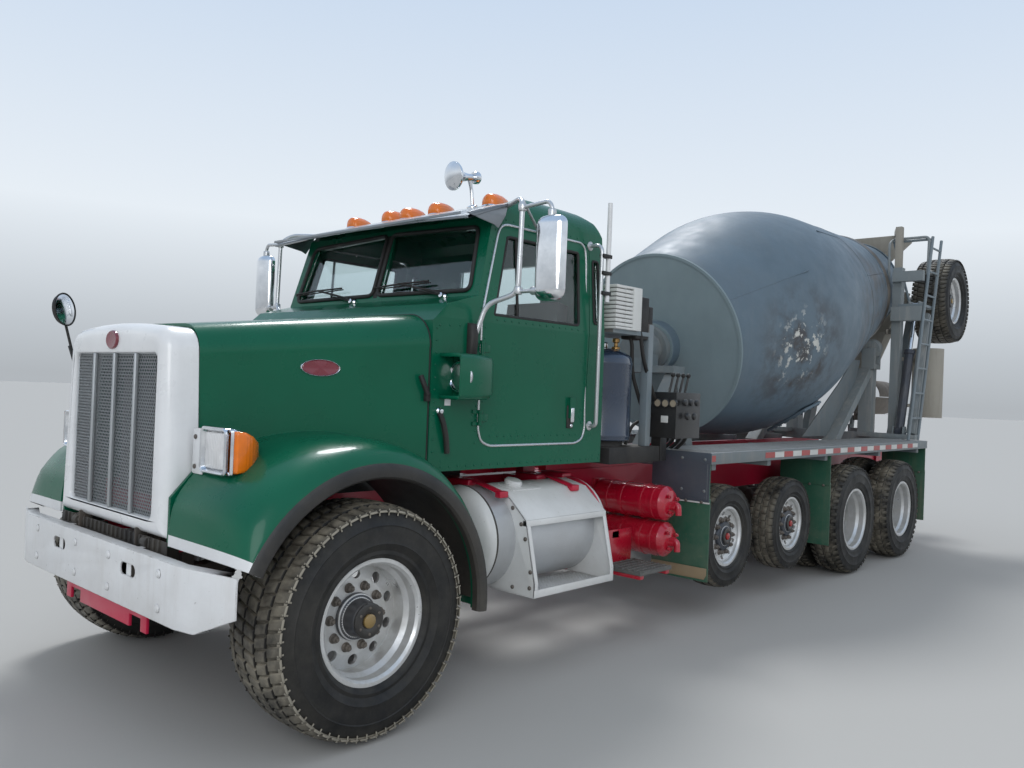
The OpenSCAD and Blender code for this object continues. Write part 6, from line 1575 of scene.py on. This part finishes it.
drum_side = soft_turns([(0.812, 0.0), (0.814, 0.01), (1.13, 1.15), (1.13, 1.85), (0.56, 4.745)], 0.5, 9)
outer = [(0.0, -0.119), (0.225, -0.119), (0.229, -0.115), (0.229, 0.0), (0.5, -0.004), (0.78, -0.006),
    (0.805, -0.006)]
outer += [(0.834, -0.013), (0.834, 0.013), (0.82, 0.016)] + [(r, l) for r, l in drum_side if l > 0.03]
outer += [(0.575, 4.712), (0.575, 4.749), (0.54, 4.749), (0.54, 4.7), (0.7, 3.6), (1.1, 1.85), (1.1, 1.15),
    (0.79, 0.05), (0.0, 0.02)]
shell = turned(outer, along=(0, 1, 0), steps=160)
shell.data.transform(drum_place)
fit(shell, "drum_shell", drum_paint, "drum_paint", "mixer_drum", body="drum", smooth=24)
# Painted light: the forward-facing head and its ring get a lighter copy of the drum's blue-grey, standing for
# the light that falls on the head.
lit_head_paint = painted("drum_head_paint", (128, 146, 152), gloss=0.6, coat=0.0, dust=0.1, level=3.0, rubbed=0.2,
    chips=0.15, under=(96, 112, 122), stain=0.25, stained=(104, 122, 130), grain=0.3)
facing = Vector((0, -cos(drum_tilt), -sin(drum_tilt)))
recolour(shell, lit_head_paint, lambda middle, normal: normal.dot(facing) > 0.9 and middle.y < steer_y + 4.4)
track = turned([(0.69, 3.846), (0.732, 3.846), (0.735, 3.849), (0.735, 3.951), (0.732, 3.954), (0.69, 3.954)],
    along=(0, 1, 0), steps=160)
track.data.transform(drum_place)
track_steel = painted("track_steel", (120, 112, 104), gloss=0.4, coat=0.0, dust=0.5, level=4.0, rubbed=0.7,
    metallic=0.6, chips=0.3, under=(70, 58, 50))
fit(track, "drum_track", track_steel, "drum_paint", body="drum")
seam_rings = [turned([(r - 0.004, l - 0.006), (r + 0.003, l - 0.003), (r + 0.003, l + 0.003),
    (r - 0.004, l + 0.006)], along=(0, 1, 0), steps=120) for r, l in ((0.9425, 2.8), (0.7475, 3.8))]
seams = [tube([Vector((r1 * sin(a), l1, r1 * cos(a))), Vector((r2 * sin(a), l2, r2 * cos(a)))], 0.006)
    for a, r1, l1, r2, l2 in ((1.09, 0.82, 0.03, 1.11, 1.09), (-1.3, 0.82, 0.03, 1.11, 1.09),
    (2.3, 1.128, 1.4, 1.128, 1.6), (0.7, 1.108, 1.97, 0.9425, 2.8), (1.25, 0.9425, 2.8, 0.7475, 3.8),
    (-1.9, 1.108, 1.97, 0.7475, 3.8))]
welds = joined(*seam_rings, *seams)
welds.data.transform(drum_place)
fit(welds, "drum_welds", drum_paint, "drum_paint", body="drum", smooth=50)
head_ring = turned([(0.812, -0.015), (0.837, -0.014), (0.839, 0.0), (0.837, 0.014), (0.816, 0.016)],
    along=(0, 1, 0), steps=160)
head_ring.data.transform(drum_place)
fit(head_ring, "drum_head_ring", lit_head_paint, "drum_paint", body="drum", smooth=50)
hatch = box(Vector((-0.24, -0.2, -0.012)), Vector((0.24, 0.2, 0.016)), 0.01, 3)
bolt_places = [Vector((x, y, 0)) for x in (-0.21, 0.21) for y in (-0.16, -0.055, 0.055, 0.16)]
bolt_places += [Vector((x, y, 0)) for x in (-0.1, 0.0, 0.1) for y in (-0.17, 0.17)]
hatch_bolts = repeat(turned([(0, 0.012), (0.013, 0.012), (0.013, 0.024), (0, 0.027)], along=(0, 0, 1),
    steps=6), bolt_places)
hatch_all = joined(hatch, hatch_bolts)
hatch_all.data.transform(drum_place @ Matrix.Rotation(radians(150), 4, "Y")
    @ Matrix.Translation((0, 1.5, 1.13)))
fit(hatch_all, "drum_hatch", drum_paint, "drum_paint", body="drum")
coat(plate_grey, "front_pedestal")

# Rear end: charge hopper, collector and chutes are steel sheet under a crust of dried concrete; posts and
# platforms are painted channels, and a dark blue cylinder with a bright rod stands between two lugs beside
# each ladder.
slurry = painted("slurry_coat", (170, 166, 156), gloss=0.85, coat=0.0, dust=0.4, level=4.0, rubbed=0.5,
    chips=0.3, under=(96, 86, 78), stain=0.6, stained=(122, 116, 108), grain=1.0)
for node in ("charge_hopper", "discharge_collector", "spare_chutes"):
    fit(dressed(node, 0.003, 2), node + "_sheet", slurry, "concrete_coat", node)
for vertex in bpy.data.objects["charge_hopper_sheet"].data.vertices:
    if vertex.co.z > 3.88:
        vertex.co.z -= 0.105
dark_slurry = painted("dark_slurry", (112, 106, 100), gloss=0.85, coat=0.0, dust=0.4, level=4.0, rubbed=0.5,
    chips=0.3, under=(74, 66, 62), stain=0.5, stained=(150, 144, 134), grain=1.0)
fit(dressed("main_chute", 0.0015, 2), "main_chute_sheet", dark_slurry, "concrete_coat", "main_chute",
    body="chute")
fit(dressed("fold_chute", 0.0015, 2), "fold_chute_sheet", dark_slurry, "concrete_coat", "fold_chute",
    body="fold")
coat(plate_grey, "booster_frame", "chute_swivel")
coat(post_grey, "ladder")
stained_grey = painted("stained_grey", (138, 148, 152), gloss=0.6, coat=0.0, dust=0.3, level=4.0, rubbed=0.6,
    chips=0.35, under=(92, 84, 78), stain=0.6, stained=(196, 192, 184))
coat(stained_grey, "rear_pedestal")
cylinder_blue = painted("cylinder_blue", (40, 52, 70), gloss=0.35, coat=0.3, dust=0.4, level=4.0, rubbed=0.3,
    stain=0.4, stained=(150, 148, 142))
foot, neck, head = spot(0.9, 8.0, 1.33), spot(0.9, 8.27, 2.28), spot(0.9, 8.43, 2.84)
tube_body = tube([foot, neck], 0.052, sides=6)
gland = tube([neck - (neck - foot) * 0.03, neck + (neck - foot) * 0.02], 0.062, sides=6)
base_eye = turned([(0.02, -0.035), (0.06, -0.035), (0.06, 0.035), (0.02, 0.035)], foot, (1, 0, 0), 28)
head_eye = turned([(0.018, -0.03), (0.048, -0.03), (0.048, 0.03), (0.018, 0.03)], head, (1, 0, 0), 28)
both(joined(tube_body, gland, base_eye), "booster_cylinder", cylinder_blue, "plate_grey", smooth=40)
both(joined(tube([neck, head], 0.026, sides=5), head_eye), "booster_cylinder_rod", chrome, "bright_trim",
    smooth=40)
pins = [tube([place - Vector((0.075, 0, 0)), place + Vector((0.075, 0, 0))], 0.0185, sides=4)
    for place in (foot, head)]
cheeks = [plate([place + Vector((x, -0.075, low)), place + Vector((x, 0.075, low)),
    place + Vector((x, 0.05, high)), place + Vector((x, -0.05, high))], Vector((0.012, 0, 0)), 0.002)
    for place, low, high in ((foot, -0.09, 0.06), (head, 0.065, -0.06)) for x in (-0.062, 0.05)]
both(joined(*pins, *cheeks), "booster_cylinder_lugs", stained_grey, "plate_grey")
beam = box(Vector((-0.045, -0.06, 0.0)), Vector((0.045, 0.06, 1.5)), 0.008)
beam.data.transform(Matrix.Translation(spot(1.02, 8.06, 1.3)) @ Matrix.Rotation(-0.272, 4, "X"))
both(beam, "ladder_beam", stained_grey, "plate_grey")
tie = box((0.44, 7.93, 1.245), (1.1, 8.08, 1.3), 0.006)
both(tie, "cylinder_foot_tie", stained_grey, "plate_grey")
rail_top = tube([(0.65, 8.2, 2.84), (0.65, 8.2, 3.6), (0.66, 8.3, 3.66), (1.07, 8.3, 3.66),
    (1.075, 8.26, 3.2)], 0.016, 0.06, sides=4)
both(rail_top, "platform_guard", stained_grey, "plate_grey", smooth=40)
gusset = plate([(0.432, s, z) for s, z in ((6.35, 1.262), (6.99, 1.262), (7.8, 1.9), (7.93, 2.16),
    (7.72, 2.16), (7.3, 1.86))], Vector((0.016, 0, 0)), 0.004)
both(gusset, "pedestal_gusset", plate_grey, "plate_grey")
